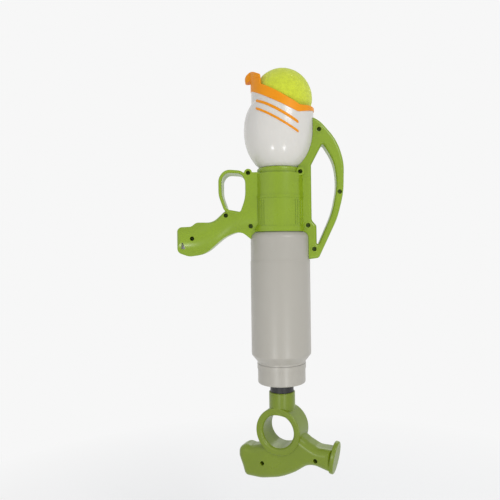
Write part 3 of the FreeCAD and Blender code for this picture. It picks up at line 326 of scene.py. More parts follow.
class ShaderGroup:
    """A shared effect: a node group with named inputs and outputs, built once."""

    name = "effect"
    inputs: tuple[tuple[str, str], ...] = ()
    outputs: tuple[str, ...] = ()

    def wire(self, bench: Bench, given: Sockets) -> dict[str, Socket]:
        """Add the group's nodes and return the socket of each output."""
        raise NotImplementedError

    def tree(self) -> bpy.types.NodeTree:
        """Return the group's tree, building it at the first call."""
        found = bpy.data.node_groups.get(self.name)
        if found:
            return found
        tree = bpy.data.node_groups.new(self.name, "ShaderNodeTree")
        for title, kind in self.inputs:
            tree.interface.new_socket(title, in_out="INPUT", socket_type=kind)
        for title in self.outputs:
            tree.interface.new_socket(title, in_out="OUTPUT", socket_type="NodeSocketFloat")
        bench = Bench(tree)
        given = bench.add("NodeGroupInput")
        bench.supply(bench.add("NodeGroupOutput"), **self.wire(bench, given.outputs))
        return tree

    def place(self, bench: Bench, **values: Socket | float) -> Sockets:
        """Put the group into a material.

        Args:
            bench: The material's bench.
            values: Input sockets or numbers by input name.

        Returns:
            The group node's outputs, by name.
        """
        return bench.supply(bench.add("ShaderNodeGroup", node_tree=self.tree()), **values).outputs


VECTOR = "NodeSocketVector"
NUMBER = "NodeSocketFloat"


class MouldSkin(ShaderGroup):
    """Skin of moulded plastic: fine orange peel, slow ripples and uneven tone.

    Height is 0.35 times a fine noise plus 0.65 times a slow noise. Tone is a broad noise with
    its contrast raised, and Scuff marks thin streaks where a stretched noise and a patchy one
    are both high.
    """

    name = "mould_skin"
    inputs = (("Place", VECTOR), ("Grain", NUMBER), ("Ripple", NUMBER))
    outputs = ("Height", "Tone", "Scuff")

    def wire(self, bench: Bench, given: Sockets) -> dict[str, Socket]:
        """Add the nodes, as the class says."""
        place = given["Place"]
        fine = bench.noise(place, given["Grain"], 3.0, 0.6)
        slow = bench.noise(place, given["Ripple"], 2.0)
        height = bench.math("ADD", bench.scaled(fine, 0.35), bench.scaled(slow, 0.65))
        tone = bench.remap(bench.noise(place, 24.0, 4.0, 0.55), 0.34, 0.66)
        across = bench.noise(bench.stretch(place, (1.0, 1.0, 0.09)), 900.0, 2.0, 0.7)
        patch = bench.noise(place, 60.0, 2.0)
        streak = bench.math("MULTIPLY", bench.remap(across, 0.60, 0.74),
                            bench.remap(patch, 0.52, 0.62))
        return {"Height": height, "Tone": tone, "Scuff": streak}


class EdgeWearHighlightMask(ShaderGroup):
    """Where edges are: high where the normal of a rounded surface leaves the true one."""

    name = "edge_wear_highlight_mask"
    inputs = (("Place", VECTOR), ("Reach", NUMBER))
    outputs = ("Edge",)

    def wire(self, bench: Bench, given: Sockets) -> dict[str, Socket]:
        """Compare the rounded with the true normal, and break the mask up with a noise."""
        rounded = bench.supply(bench.add("ShaderNodeBevel", samples=6), Radius=given["Reach"])
        true = bench.add("ShaderNodeNewGeometry")
        compare = bench.add("ShaderNodeVectorMath", operation="DOT_PRODUCT")
        bench.feed(compare.inputs[0], rounded.outputs["Normal"])
        bench.feed(compare.inputs[1], true.outputs["Normal"])
        edge = bench.remap(compare.outputs["Value"], 0.995, 0.90)
        broken = bench.remap(bench.noise(given["Place"], 420.0, 3.0), 0.30, 0.62, 0.35, 1.0)
        return {"Edge": bench.math("MULTIPLY", edge, broken)}


class DrawnLines(ShaderGroup):
    """Fine lines along one direction: a noise squeezed across it, plus a broad unevenness."""

    name = "drawn_lines"
    inputs = (("Place", VECTOR), ("Density", NUMBER))
    outputs = ("Line", "Patch")

    def wire(self, bench: Bench, given: Sockets) -> dict[str, Socket]:
        """Add the nodes, as the class says."""
        line = bench.noise(given["Place"], given["Density"], 4.0, 0.7)
        patch = bench.noise(given["Place"], 30.0, 3.0)
        return {"Line": bench.remap(line, 0.3, 0.7), "Patch": bench.remap(patch, 0.35, 0.65)}


class FeltNap(ShaderGroup):
    """Nap of the ball's felt: short crossing fibres over soft tufts.

    Fibre is the larger of two noises that are stretched in different directions, Tuft is a
    rounder noise a few fibres wide, and Height adds both.
    """

    name = "felt_nap"
    inputs = (("Place", VECTOR), ("Fibre", NUMBER))
    outputs = ("Fibre", "Tuft", "Height")

    def wire(self, bench: Bench, given: Sockets) -> dict[str, Socket]:
        """Add the nodes, as the class says."""
        place = given["Place"]
        one, two = (bench.noise(bench.stretch(place, way), given["Fibre"], 3.0, 0.7)
                    for way in ((1.0, 0.25, 0.6), (0.3, 1.0, 0.4)))
        fibre = bench.remap(bench.math("MAXIMUM", one, two), 0.42, 0.72)
        tuft = bench.remap(bench.noise(place, 260.0, 3.0, 0.6), 0.32, 0.68)
        height = bench.math("ADD", bench.scaled(fibre, 0.5), bench.scaled(tuft, 0.8))
        return {"Fibre": fibre, "Tuft": tuft, "Height": height}


# Finishes


def opaque(colour: Triple) -> tuple[float, float, float, float]:
    """Return a colour with full alpha."""
    return (*colour, 1.0)


@dataclass(frozen=True)
class Finish:
    """A surface finish. Each kind builds its own material around one Principled shader."""

    name: str
    colour: Triple
    roughness: float = 0.4
    relief: float = 0.02 * MM

    def tint(self, share: float = 1.0) -> tuple[float, float, float, float]:
        """Return the finish's colour times share, held below one."""
        return opaque(tuple(min(1.0, channel * share) for channel in self.colour))

    def rough(self, bench: Bench, value: Socket, low: float, high: float,
              given: tuple[float, float] = (0.0, 1.0)) -> Socket:
        """Return a roughness between two shares of the finish's own, led by value."""
        return bench.remap(value, *given, self.roughness * low, self.roughness * high)

    def emboss(self, bench: Bench, height: Socket) -> Socket:
        """Return the normal of a bump with the finish's relief."""
        bump = bench.add("ShaderNodeBump")
        return bench.supply(bump, Distance=self.relief, Height=height).outputs["Normal"]

    def dress(self, bench: Bench, where: Socket) -> Ports:
        """Add the effects and return what each of the shader's inputs gets."""
        raise NotImplementedError

    def build(self) -> bpy.types.Material:
        """Return the material, built at the first call."""
        found = bpy.data.materials.get(self.name)
        if found:
            return found
        material = bpy.data.materials.new(self.name)
        material.use_nodes = True
        material.diffuse_color = self.tint()
        material.node_tree.nodes.clear()
        bench = Bench(material.node_tree)
        shader = bench.add("ShaderNodeBsdfPrincipled")
        bench.supply(bench.add("ShaderNodeOutputMaterial"), Surface=shader.outputs["BSDF"])
        where = bench.add("ShaderNodeTexCoord").outputs["Object"]
        bench.supply(shader, **self.dress(bench, where))
        return material


@dataclass(frozen=True)
class MouldedShell(Finish):
    """Glossy moulded plastic: orange peel, uneven tone, faint scuffs, and lighter edges that are
    partly wear and partly a painted rim highlight.
    """

    grain: float = 1500.0
    ripple: float = 90.0
    edge_wear_and_highlight_lift: float = 1.25
    edge_wear_and_highlight_share: float = 0.6
    edge_reach: float = 0.7 * MM
    tone_drop: float = 0.90
    scuff_drop: float = 0.8
    scuff_share: float = 0.25
    scuff_dull: float = 0.2
    translucence: float = 0.0
    scatter: Triple = (1.2 * MM, 1.0 * MM, 0.8 * MM)

    def dress(self, bench: Bench, where: Socket) -> Ports:
        """Add the effects, as the class says."""
        skin = MouldSkin().place(bench, Place=where, Grain=self.grain, Ripple=self.ripple)
        edge = EdgeWearHighlightMask().place(bench, Place=where, Reach=self.edge_reach)
        base = bench.blend(skin["Tone"], self.tint(self.tone_drop), self.tint())
        # Lighter edges: partly wear, partly a painted rim highlight.
        worn_and_highlit = bench.blend(bench.scaled(edge["Edge"], self.edge_wear_and_highlight_share), base,
                             self.tint(self.edge_wear_and_highlight_lift))
        ports = {
            "Base_Color": bench.blend(bench.scaled(skin["Scuff"], self.scuff_share), worn_and_highlit,
                                      self.tint(self.scuff_drop)),
            "Roughness": bench.math("ADD", self.rough(bench, skin["Tone"], 1.15, 0.9),
                                    bench.scaled(skin["Scuff"], self.scuff_dull)),
            "Normal": self.emboss(bench, skin["Height"]),
        }
        if self.translucence:
            ports |= {"Subsurface_Weight": self.translucence, "Subsurface_Radius": self.scatter,
                      "Subsurface_Scale": 1.0}
        return ports


@dataclass(frozen=True)
class SoftElastomer(Finish):
    """Satin rubber: fine grain, a little sheen, and lighter edges that are partly rubbed wear and
    partly a painted rim highlight.
    """

    grain: float = 2600.0
    ripple: float = 240.0
    edge_reach: float = 0.6 * MM
    edge_wear_and_highlight_lift: float = 1.18
    edge_wear_and_highlight_share: float = 0.4
    tone_drop: float = 0.90

    def dress(self, bench: Bench, where: Socket) -> Ports:
        """Add the effects, as the class says."""
        skin = MouldSkin().place(bench, Place=where, Grain=self.grain, Ripple=self.ripple)
        edge = EdgeWearHighlightMask().place(bench, Place=where, Reach=self.edge_reach)
        base = bench.blend(skin["Tone"], self.tint(self.tone_drop), self.tint())
        return {
            # Lighter edges: partly rubbed wear, partly a painted rim highlight.
            "Base_Color": bench.blend(bench.scaled(edge["Edge"], self.edge_wear_and_highlight_share), base,
                                      self.tint(self.edge_wear_and_highlight_lift)),
            "Roughness": self.rough(bench, skin["Height"], 0.9, 1.1, (0.3, 0.7)),
            "Specular_IOR_Level": 0.25,
            "Normal": self.emboss(bench, skin["Height"]),
        }


@dataclass(frozen=True)
class Felt(Finish):
    """The ball's napped felt, a little paler where the fibres stand up."""

    fibre: float = 2400.0
    tuft_drop: float = 0.80
    tip_lift: float = 1.2
    tip_share: float = 0.5
    sheen: Triple = (0.95, 1.0, 0.6)

    def dress(self, bench: Bench, where: Socket) -> Ports:
        """Add the effects, as the class says."""
        nap = FeltNap().place(bench, Place=where, Fibre=self.fibre)
        base = bench.blend(nap["Tuft"], self.tint(self.tuft_drop), self.tint())
        return {
            "Base_Color": bench.blend(bench.scaled(nap["Fibre"], self.tip_share), base,
                                      self.tint(self.tip_lift)),
            "Roughness": self.rough(bench, nap["Fibre"], 1.0, 0.88),
            "Sheen_Weight": 0.6,
            "Sheen_Roughness": 0.45,
            "Sheen_Tint": opaque(self.sheen),
            "Specular_IOR_Level": 0.15,
            "Normal": self.emboss(bench, nap["Height"]),
        }


@dataclass(frozen=True)
class DrawnMetal(Finish):
    """Plated steel with drawing lines and dull patches."""

    direction: Triple = (1.0, 1.0, 0.05)
    density: float = 3500.0
    patch_drop: float = 0.75

    def dress(self, bench: Bench, where: Socket) -> Ports:
        """Add the effects, as the class says."""
        lines = DrawnLines().place(bench, Place=bench.stretch(where, self.direction),
                                   Density=self.density)
        return {
            "Base_Color": bench.blend(lines["Patch"], self.tint(self.patch_drop), self.tint()),
            "Metallic": 1.0,
            "Roughness": self.rough(bench, lines["Line"], 0.8, 1.3),
            "Normal": self.emboss(bench, lines["Line"]),
        }


@dataclass(frozen=True)
class SlidingPlastic(Finish):
    """Satin plastic with fine lines along its travel, and greasy patches."""

    direction: Triple = (1.0, 1.0, 0.03)
    density: float = 2600.0
    line_lift: float = 1.6
    line_share: float = 0.5

    def dress(self, bench: Bench, where: Socket) -> Ports:
        """Add the effects, as the class says."""
        lines = DrawnLines().place(bench, Place=bench.stretch(where, self.direction),
                                   Density=self.density)
        return {
            "Base_Color": bench.blend(bench.scaled(lines["Line"], self.line_share), self.tint(),
                                      self.tint(self.line_lift)),
            "Roughness": self.rough(bench, lines["Patch"], 0.75, 1.2),
            "Normal": self.emboss(bench, lines["Line"]),
        }


@dataclass(frozen=True)
class CellFoam(Finish):
    """Closed-cell foam: rounded cells with darker walls between them."""

    cell: float = 900.0
    wall_drop: float = 0.5
    wall_roughness: float = 0.98

    def dress(self, bench: Bench, where: Socket) -> Ports:
        """Add the effects, as the class says."""
        cells = bench.supply(bench.add("ShaderNodeTexVoronoi"), Scale=self.cell, Vector=where)
        distance = bench.remap(cells.outputs["Distance"], 0.1, 0.7)
        return {
            "Base_Color": bench.blend(distance, self.tint(), self.tint(self.wall_drop)),
            "Roughness": bench.remap(distance, 0.0, 1.0, self.roughness, self.wall_roughness),
            "Normal": self.emboss(bench, bench.math("SUBTRACT", 1.0, distance)),
        }


GREEN = MouldedShell("lime_moulding", (0.232, 0.350, 0.009), 0.27, edge_wear_and_highlight_lift=1.30)
# Painted shade: a darker copy of the lime moulding for the pump handle, which is the same plastic as
# the housing.
SHADED_GREEN = MouldedShell("shaded_lime_moulding", (0.165, 0.232, 0.007), 0.29, edge_wear_and_highlight_lift=1.35)
# Painted shade: a greyer copy of the bulb's white for the barrel and its cap, which get less light.
WHITE = MouldedShell("shaded_white_blow_moulding", (0.400, 0.382, 0.338), 0.34, grain=700.0, ripple=30.0,
                     edge_wear_and_highlight_lift=1.06, tone_drop=0.985, translucence=0.05)
BULB_WHITE = MouldedShell("white_bulb_moulding", (0.665, 0.645, 0.605), 0.20, grain=600.0,
                          ripple=30.0, edge_wear_and_highlight_lift=1.06, tone_drop=0.985, translucence=0.08)
ORANGE = SoftElastomer("orange_elastomer", (0.86, 0.300, 0.001), 0.48)
FELT = Felt("optic_yellow_felt", (0.65, 0.74, 0.050), 0.92, 0.35 * MM)
SEAM = SoftElastomer("ball_seam_rubber", (0.62, 0.64, 0.55), 0.6, 0.04 * MM)
CORE = SoftElastomer("ball_core_rubber", (0.10, 0.09, 0.085), 0.75, 0.05 * MM)
STEEL = DrawnMetal("plated_steel", (0.50, 0.49, 0.47), 0.36, 0.01 * MM)
# Painted shade: the screws' colour is the dark green shade of their deep recesses.
RECESS_SHADED_STEEL = DrawnMetal("recess_shaded_screw", (0.10, 0.15, 0.04), 0.46, 0.01 * MM)
BLACK = SlidingPlastic("black_rod_plastic", (0.008, 0.008, 0.009), 0.38, 0.01 * MM)
NATURAL = SlidingPlastic("natural_bearing_plastic", (0.55, 0.54, 0.50), 0.42, 0.01 * MM)
SEALING = SoftElastomer("seal_rubber", (0.014, 0.014, 0.014), 0.55, 0.03 * MM)
FOAM = CellFoam("bumper_foam", (0.07, 0.07, 0.075), 0.9, 0.2 * MM)


def dress_nodes(finish: Finish, *names: str) -> None:
    """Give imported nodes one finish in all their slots."""
    material = finish.build()
    for name in names:
        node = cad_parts[name]
        if not node.material_slots:
            node.data.materials.append(material)
        for slot in node.material_slots:
            slot.material = material
        LOG.info("node %s in %s", name, finish.name)


def fit_piece(piece: Piece, body: Body, finish: Finish,
              replaced: str | None = None) -> None:
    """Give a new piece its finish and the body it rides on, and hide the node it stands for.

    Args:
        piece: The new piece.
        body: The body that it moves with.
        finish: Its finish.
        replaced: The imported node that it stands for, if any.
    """
    piece.data.materials.append(finish.build())
    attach(piece, body.value)
    if replaced:
        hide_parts(replaced)
    LOG.info("piece %s on %s, %d faces", piece.name, body.value, len(piece.data.polygons))


# Sub-assemblies


@dataclass
class TennisBall:
    """The ball: napped felt in two interlocking lobes, with the rubber seam between them."""

    centre: Triple = (0.0045, 0.0, 0.2138)
    radius: float = 0.0320
    turn: Triple = (1.145, -3.205, 1.319)
    cover_grid: tuple[int, int] = (150, 240)
    cover_sink: float = 0.15 * MM
    wave_height: float = 0.07 * MM
    waves: tuple[Triple, ...] = ((91.0, 57.0, 33.0), (-44.0, 83.0, 61.0))
    seam_width: float = 1.9 * MM
    seam_depth: float = 0.7 * MM
    seam_height: float = 0.45 * MM
    seam_sink: float = 0.1 * MM
    seam_filling: float = 0.72
    seam_share: float = 0.25
    seam_points: int = 480
    fibre_count: int = 9000
    fibre_length: float = 0.8 * MM
    fibre_width: float = 0.11 * MM
    fibre_sink: float = 0.35 * MM
    fibre_least: float = 0.2 * MM
    fibre_rise: float = 0.6
    fibre_lean: float = 0.75
    fibre_limit: tuple[float, float] = (-0.10, 0.585)
    seed: int = 7

    def seam_line(self, count: int) -> Points:
        """Return points of the seam on the unit sphere, turned by the ball's own rotation.

        The seam is (a cos t + b cos 3t, a sin t - b sin 3t, 2 sqrt(ab) sin 2t) with a + b = 1,
        which lies on the sphere for every t.
        """
        t = np.linspace(0, TURN, count, endpoint=False)
        b = self.seam_share
        a = 1 - b
        line = np.stack([a * np.cos(t) + b * np.cos(3 * t), a * np.sin(t) - b * np.sin(3 * t),
                         2 * math.sqrt(a * b) * np.sin(2 * t)], -1)
        x, y, z = (Matrix.Rotation(angle, 3, axis) for angle, axis in zip(self.turn, "XYZ"))
        return line @ np.array(z @ y @ x).T

    def cover(self) -> Piece:
        """Build the felt: a sphere sunk along the seam by a bell-shaped groove.

        Radius is the ball's, less the seam's depth times exp(-(d / width)^4), where d is the
        distance to the seam, plus slow waves of the nap.
        """
        rows, columns = self.cover_grid
        polar = (np.arange(rows) + 0.5) / rows * math.pi
        p, a = np.meshgrid(polar, round_angles(columns), indexing="ij")
        out = np.stack([np.sin(p) * np.cos(a), np.sin(p) * np.sin(a), np.cos(p)], -1).reshape(-1, 3)
        seam = self.seam_line(self.seam_points)
        nearest = np.concatenate([(part @ seam.T).max(1) for part in np.array_split(out, 24)])
        distance = np.arccos(np.clip(nearest, -1, 1)) * self.radius
        groove = self.seam_depth * np.exp(-(distance / self.seam_width) ** 4)
        wave = self.wave_height * sum(np.sin(out @ np.array(wave)) for wave in self.waves)
        size = self.radius - self.cover_sink
        centre, up = np.array(self.centre), np.array([0.0, 0.0, size])
        grid = (out * (size - groove + wave)[:, None]).reshape(rows, columns, 3) + centre
        return grid_piece("ball_felt_cover", grid, Ends.FANS, (centre + up, centre - up))

    def seam(self, count: int = 420, section: int = 10) -> Piece:
        """Build the seam: a tube of flat elliptic section carried along the seam's line."""
        line = self.seam_line(count)
        side = np.cross(line, unit(np.roll(line, -1, 0) - np.roll(line, 1, 0)))
        angle = round_angles(section)
        ellipse = np.stack([self.seam_width * self.seam_filling * np.cos(angle),
                            self.seam_height * np.sin(angle)], -1)
        middle = line * (self.radius - self.seam_depth - self.seam_sink)
        grid = middle[:, None] + side[:, None] * ellipse[:, :1] + line[:, None] * ellipse[:, 1:]
        return grid_piece("ball_seam", grid + np.array(self.centre))

    def fuzz(self) -> Piece:
        """Build the standing fibres: thin four-sided needles leaning in random directions.

        Each needle has a square foot on the felt and a tip that is moved out and sideways.
        Needles that would stand in the seam or below the cup's lip are left out.
        """
        rng = np.random.default_rng(self.seed)
        out = unit(rng.normal(size=(self.fibre_count, 3)))
        lean = rng.normal(size=out.shape)
        length = self.fibre_length * rng.uniform(0.5, 1.0, self.fibre_count)
        seam = (out @ self.seam_line(self.seam_points).T).max(1)
        level, slope = self.fibre_limit
        keep = (seam < math.cos(self.seam_width * 1.1 / self.radius)) & (
            out[:, 2] > level - slope * out[:, 0])
        out, lean, length = out[keep], lean[keep], length[keep, None]
        lean = unit(lean - out * np.einsum("ij,ij->i", out, lean)[:, None])
        across = np.cross(out, lean)
        foot = out * (self.radius - self.fibre_sink)
        half = self.fibre_width / 2
        corners = [foot + lean * half, foot + across * half, foot - lean * half, foot - across * half]
        tip = (foot + out * (length * self.fibre_rise + self.fibre_least)
               + lean * (length * self.fibre_lean))
        points = np.stack([*corners, tip], 1).reshape(-1, 3) + np.array(self.centre)
        base = (np.arange(len(out)) * 5)[:, None]
        sides = base[:, None] + np.array([[0, 1, 4], [1, 2, 4], [2, 3, 4], [3, 0, 4]])
        floor = base + np.array([[3, 2, 1, 0]])
        faces = [tuple(face) for face in sides.reshape(-1, 3).tolist() + floor.tolist()]
        return build_piece("ball_nap_fibres", points, faces)

    def build(self) -> None:
        """Build and dress the ball."""
        dress_nodes(CORE, "ball_core")
        fit_piece(self.cover(), Body.BALL, FELT, "ball_felt")
        fit_piece(self.seam(), Body.BALL, SEAM)
        fit_piece(self.fuzz(), Body.BALL, FELT)


@dataclass
class HeadShape:
    """The outside of the head: an egg shaped bulb that grows into the shifted cup."""

    level: float = 0.1780
    radius: float = 0.0374
    drop: float = 0.0475
    crown: float = 0.0290
    cup_radius: float = 0.0335
    cup_bore: float = 0.0323
    shift: float = 0.0045
    power: float = 2.5

    def share(self, z: Points) -> Points:
        """Return how far a level is on the way from the bulb to the cup."""
        return np.clip((z - self.level) / self.crown, 0, 1) ** self.power

    def radius_at(self, z: Points) -> Points:
        """Return the outside radius: an ellipse below the widest level, a blend above."""
        below = self.radius * np.sqrt(np.clip(1 - ((self.level - z) / self.drop) ** 2, 0, 1))
        above = self.radius + (self.cup_radius - self.radius) * self.share(z)
        return np.where(z < self.level, below, above)

    def shift_at(self, z: Points) -> Points:
        """Return how far the section's centre is shifted towards the carrying handle."""
        return self.shift * self.share(z)

    def from_cup_axis(self, around: Points, z: Points) -> Points:
        """Return the wall's distance from the cup's axis.

        The wall's circle has its centre off that axis by e, so a ray at an angle meets it at
        e cos(angle) + sqrt(R^2 - e^2 sin^2(angle)).
        """
        off = self.shift_at(z) - self.shift
        return off * np.cos(around) + np.sqrt(self.radius_at(z) ** 2 - (off * np.sin(around)) ** 2)


@dataclass
class MuzzleHead:
    """The white head with its soft lip, scoop hook and stripes."""

    shape: HeadShape = field(default_factory=HeadShape)
    mouth_level: float = 0.2100
    mouth_slope: float = 0.585
    mouth_turn: float = 0.0220
    edge_rise: float = 0.15
    lip_skin: float = 0.0006
    lip_cap: float = 0.0014
    lip_least: float = 0.0032
    band_height: float = 0.0052
    band_slope: float = 0.497
    band_sag: float = 0.16
    band_turn: float = 0.0201
    hook_angle: float = math.radians(48)
    hook_edge: float = math.radians(2.5)
    hook_top: float = 0.2415
    hook_wall: float = 0.0349
    hook_nose: float = 0.0406
    hook_crest: float = 0.0411
    hook_depth: float = 0.0116
    beak_radius: float = 0.0075
    corner_rounds: tuple[float, ...] = (
        0.1, 2.5, 1.5, 1.5, 3.0, 0.8, 0.6, 1.0, 0.3, 0.3, 0.25, 0.1, 0.1, 0.1)
    stripe_thickness: float = 0.0008
    stripe_sink: float = 0.0003
    stripe_reach: float = 0.0220
    stripe_slope: float = 0.585
    stripe_places: tuple[tuple[str, float, float], ...] = (
        ("upper", 0.0194, 0.0033), ("lower", 0.0290, 0.0027))
    line_foot: float = 0.1405
    line_height: float = 0.00014
    line_places: tuple[tuple[str, float, float], ...] = (
        ("hook_side", 0.2212, -1.0), ("handle_side", 0.1990, 1.0))

    def slanting(self, level: float, slope: float, turn: float, x: Points) -> Points:
        """Return a level that falls by slope towards the handle and rises a little past turn.

        The two straight lines meet in a soft maximum: s ln(exp(a/s) + exp(b/s)).
        """
        soft = 0.0005
        falling = -slope * (x - self.shape.shift)
        rising = -slope * (turn - self.shape.shift) + self.edge_rise * (x - turn)
        return level + soft * np.logaddexp(falling / soft, rising / soft)

    def hook_reach(self, around: Points) -> Points:
        """Return how far the hook stands out from the cup's axis at each place round it.

        A ray from the axis meets the beak's circle, of radius r and c away, at
        c cos(a) + sqrt(r^2 - c^2 sin^2(a)). The larger of that and the plain wall is taken.
        """
        angle = around - math.pi
        away = self.hook_nose - self.beak_radius
        inside = np.clip(self.beak_radius ** 2 - (away * np.sin(angle)) ** 2, 0, None)
        beak = np.where(np.cos(angle) > 0, away * np.cos(angle) + np.sqrt(inside), 0.0)
        soft = 0.0002
        return soft * np.logaddexp(beak / soft, self.hook_wall / soft)

    def lip_outlines(self, around: Points) -> tuple[Points, Points]:
        """Work out the corners of the lip's section at each place round the cup.

        A section starts at the cup's rim inside, goes up over the lip and down its outside to
        the band's lower edge, and back up along the head's wall.

        Args:
            around: Angle of each place, from the handle's side.

        Returns:
            The band's and the hook's corners, each of shape (places, corners, 2), as distance
            from the cup's axis and level.
        """
        shape = self.shape
        wall = shape.cup_radius * np.ones_like(around)
        mouth = self.slanting(self.mouth_level, self.mouth_slope, self.mouth_turn,
                              shape.shift + wall * np.cos(around))
        for _ in range(4):
            low = self.slanting(self.mouth_level - self.band_height, self.band_slope, self.band_turn,
                                shape.shift + wall * np.cos(around))
            low -= self.band_sag * np.abs(wall * np.sin(around))
            wall = shape.from_cup_axis(around, low)
        low = np.minimum(low, mouth - self.lip_least)
        seat, high = mouth - self.lip_cap, mouth - low
        bore, top, reach = shape.cup_bore, self.hook_top, self.hook_reach(around)
        beak = np.clip((reach - self.hook_wall) / (self.hook_nose - self.hook_wall), 0, 1)
        inside = [(bore, seat), (bore, mouth - 0.0004), (bore + 0.0004, mouth)]
        hook = [(bore, seat), (bore, top - 0.0030 - 0.0030 * beak),
                (bore + 0.0014 + 0.0011 * beak, top - 0.0002),
                (reach - 0.0002 - 0.0034 * beak, top - 0.0009 * beak),
                (reach, top - 0.0014 - 0.0036 * beak),
                (reach - 0.0009 * beak, top - 0.0090 - (self.hook_depth - 0.0090) * beak),
                (reach - 0.0006 - 0.0024 * beak, top - 0.0094 - 0.0016 * beak), (None, top - 0.0096)]
        band = inside + [(-0.0005, mouth), (None, mouth - 0.0005), (None, mouth - 0.2 * high),
                         (None, mouth - 0.35 * high), (None, mouth - 0.5 * high)]
        foot = [(None, mouth - 0.7 * high), (None, mouth - 0.85 * high), (None, low), ("wall", low),
                ("wall", (low + seat) / 2), ("wall", seat)]
        outlines = []
        for corners in (band + foot, hook + foot):
            rows = []
            for distance, level in corners:
                z = np.broadcast_to(level, around.shape)
                wall = shape.from_cup_axis(around, z)
                if distance is None:
                    distance = wall + self.lip_skin
                elif isinstance(distance, str):
                    distance = wall
                elif np.all(distance < 0):
                    distance = wall + self.lip_skin + distance
                rows.append(np.stack([np.broadcast_to(distance, around.shape), z], -1))
            outlines.append(np.stack(rows, 1))
        return outlines[0], outlines[1]

    def under_crest(self, outlines: Points, around: Points) -> Points:
        """Lower the hook under its round crest.

        All above the hook's underside is squeezed so that its top follows a circle that lies
        across the hook.
        """
        base = self.hook_top - self.hook_depth
        aside = outlines[..., 0] * np.sin(around)[:, None]
        crest = self.hook_top - self.hook_crest + np.sqrt(self.hook_crest ** 2 - aside ** 2)
        squeeze = np.clip((crest - base) / self.hook_depth, 0.1, 1)
        over = np.maximum(outlines[..., 1] - base, 0)
        level = np.where(over > 0, base + over * squeeze, outlines[..., 1])
        return np.stack([outlines[..., 0], level], -1)

    def lip(self) -> Piece:
        """Build the lip: a section carried round the cup's axis.

        The section is the band's, and turns into the hook's within a few degrees on the side
        away from the handle. The band follows the slanting mouth and lies on the head's wall.
        """
        around = round_angles(640)
        away = np.abs(around - math.pi)
        share = 1 - smooth_step(away, self.hook_angle - self.hook_edge, self.hook_angle)
        band, hook = self.lip_outlines(around)
        outlines = band + (self.under_crest(hook, around) - band) * share[:, None, None]
        section = soft_corners(outlines, np.array(self.corner_rounds) * MM)
        distance, level = section[..., 0], section[..., 1]
        grid = np.stack([self.shape.shift + distance * np.cos(around)[:, None],
                         distance * np.sin(around)[:, None], level], -1)
        return grid_piece("soft_lip_with_hook", grid)

    def stripe(self, name: str, drop: float, height: float, side: float) -> Piece:
        """Build one stripe: a low rounded strip that lies on the head along a slanting line.

        The line falls towards the handle, and the head's circle at a level gives the depth.
        The strip stands out by its thickness with rounded shoulders, and its ends are rounded
        too.

        Args:
            name: The piece's name.
            drop: Mouth down to the stripe's line, at the cup's axis.
            height: The strip's height.
            side: -1 for the front, 1 for the back.

        Returns:
            The new object.
        """
        rows, section = 90, 20
        middle = self.shape.shift / 2 - self.stripe_reach / 6
        share = np.sin(np.linspace(-1, 1, rows) * math.pi / 2) * 0.9995
        x = middle + self.stripe_reach * share
        close = np.clip((1 - np.abs(share)) * self.stripe_reach / (height * 0.4), 0, 1)
        width = np.sqrt(1 - (1 - close) ** 2)
        angle = round_angles(section)
        across = np.sign(np.cos(angle)) * np.abs(np.cos(angle)) ** 0.6
        rise = np.where(np.sin(angle) > 0, np.abs(np.sin(angle)) ** 0.6, 0.0)
        full = rise * (self.stripe_thickness + self.stripe_sink)
        lift = np.sqrt(width)[:, None] * full - self.stripe_sink
        base = self.mouth_level - drop - self.stripe_slope * (x - self.shape.shift)
        level = base[:, None] + width[:, None] * across * height / 2
        depth = self.depth_at(x[:, None], level, lift)
        grid = np.stack([np.broadcast_to(x[:, None], level.shape), side * depth, level], -1)
        return grid_piece(name, grid, Ends.FANS)

    def depth_at(self, x: Points, z: Points, lift: Points) -> Points:
        """Return how far the head's wall, raised by lift, is from the middle plane."""
        off = x - self.shape.shift_at(z)
        return np.sqrt(np.clip((self.shape.radius_at(z) + lift) ** 2 - off ** 2, 0, None))

    def parting_line(self, name: str, top: float, side: float) -> Piece:
        """Build a stretch of the parting line, which follows the outline in the middle plane."""
        z = np.linspace(self.line_foot, top, 90)
        none = np.zeros_like(z)
        x = self.shape.shift_at(z) + side * self.shape.radius_at(z)
        out = unit(np.stack([none + side, none, -side * np.gradient(x, z)], -1))
        return ridge(name, np.stack([x, none, z], -1), out, self.line_height)

    def build(self) -> None:
        """Build and dress the head."""
        dress_nodes(BULB_WHITE, "head_cup")
        fit_piece(self.lip(), Body.LAUNCHER, ORANGE, "muzzle_lip")
        replaced = "head_stripes"
        for label, drop, height in self.stripe_places:
            for face, side in (("front", -1.0), ("back", 1.0)):
                piece = self.stripe(f"stripe_{label}_{face}", drop, height, side)
                fit_piece(piece, Body.LAUNCHER, ORANGE, replaced)
                replaced = None
        for label, top, side in self.line_places:
            piece = self.parting_line(f"head_parting_{label}", top, side)
            fit_piece(piece, Body.LAUNCHER, BULB_WHITE)


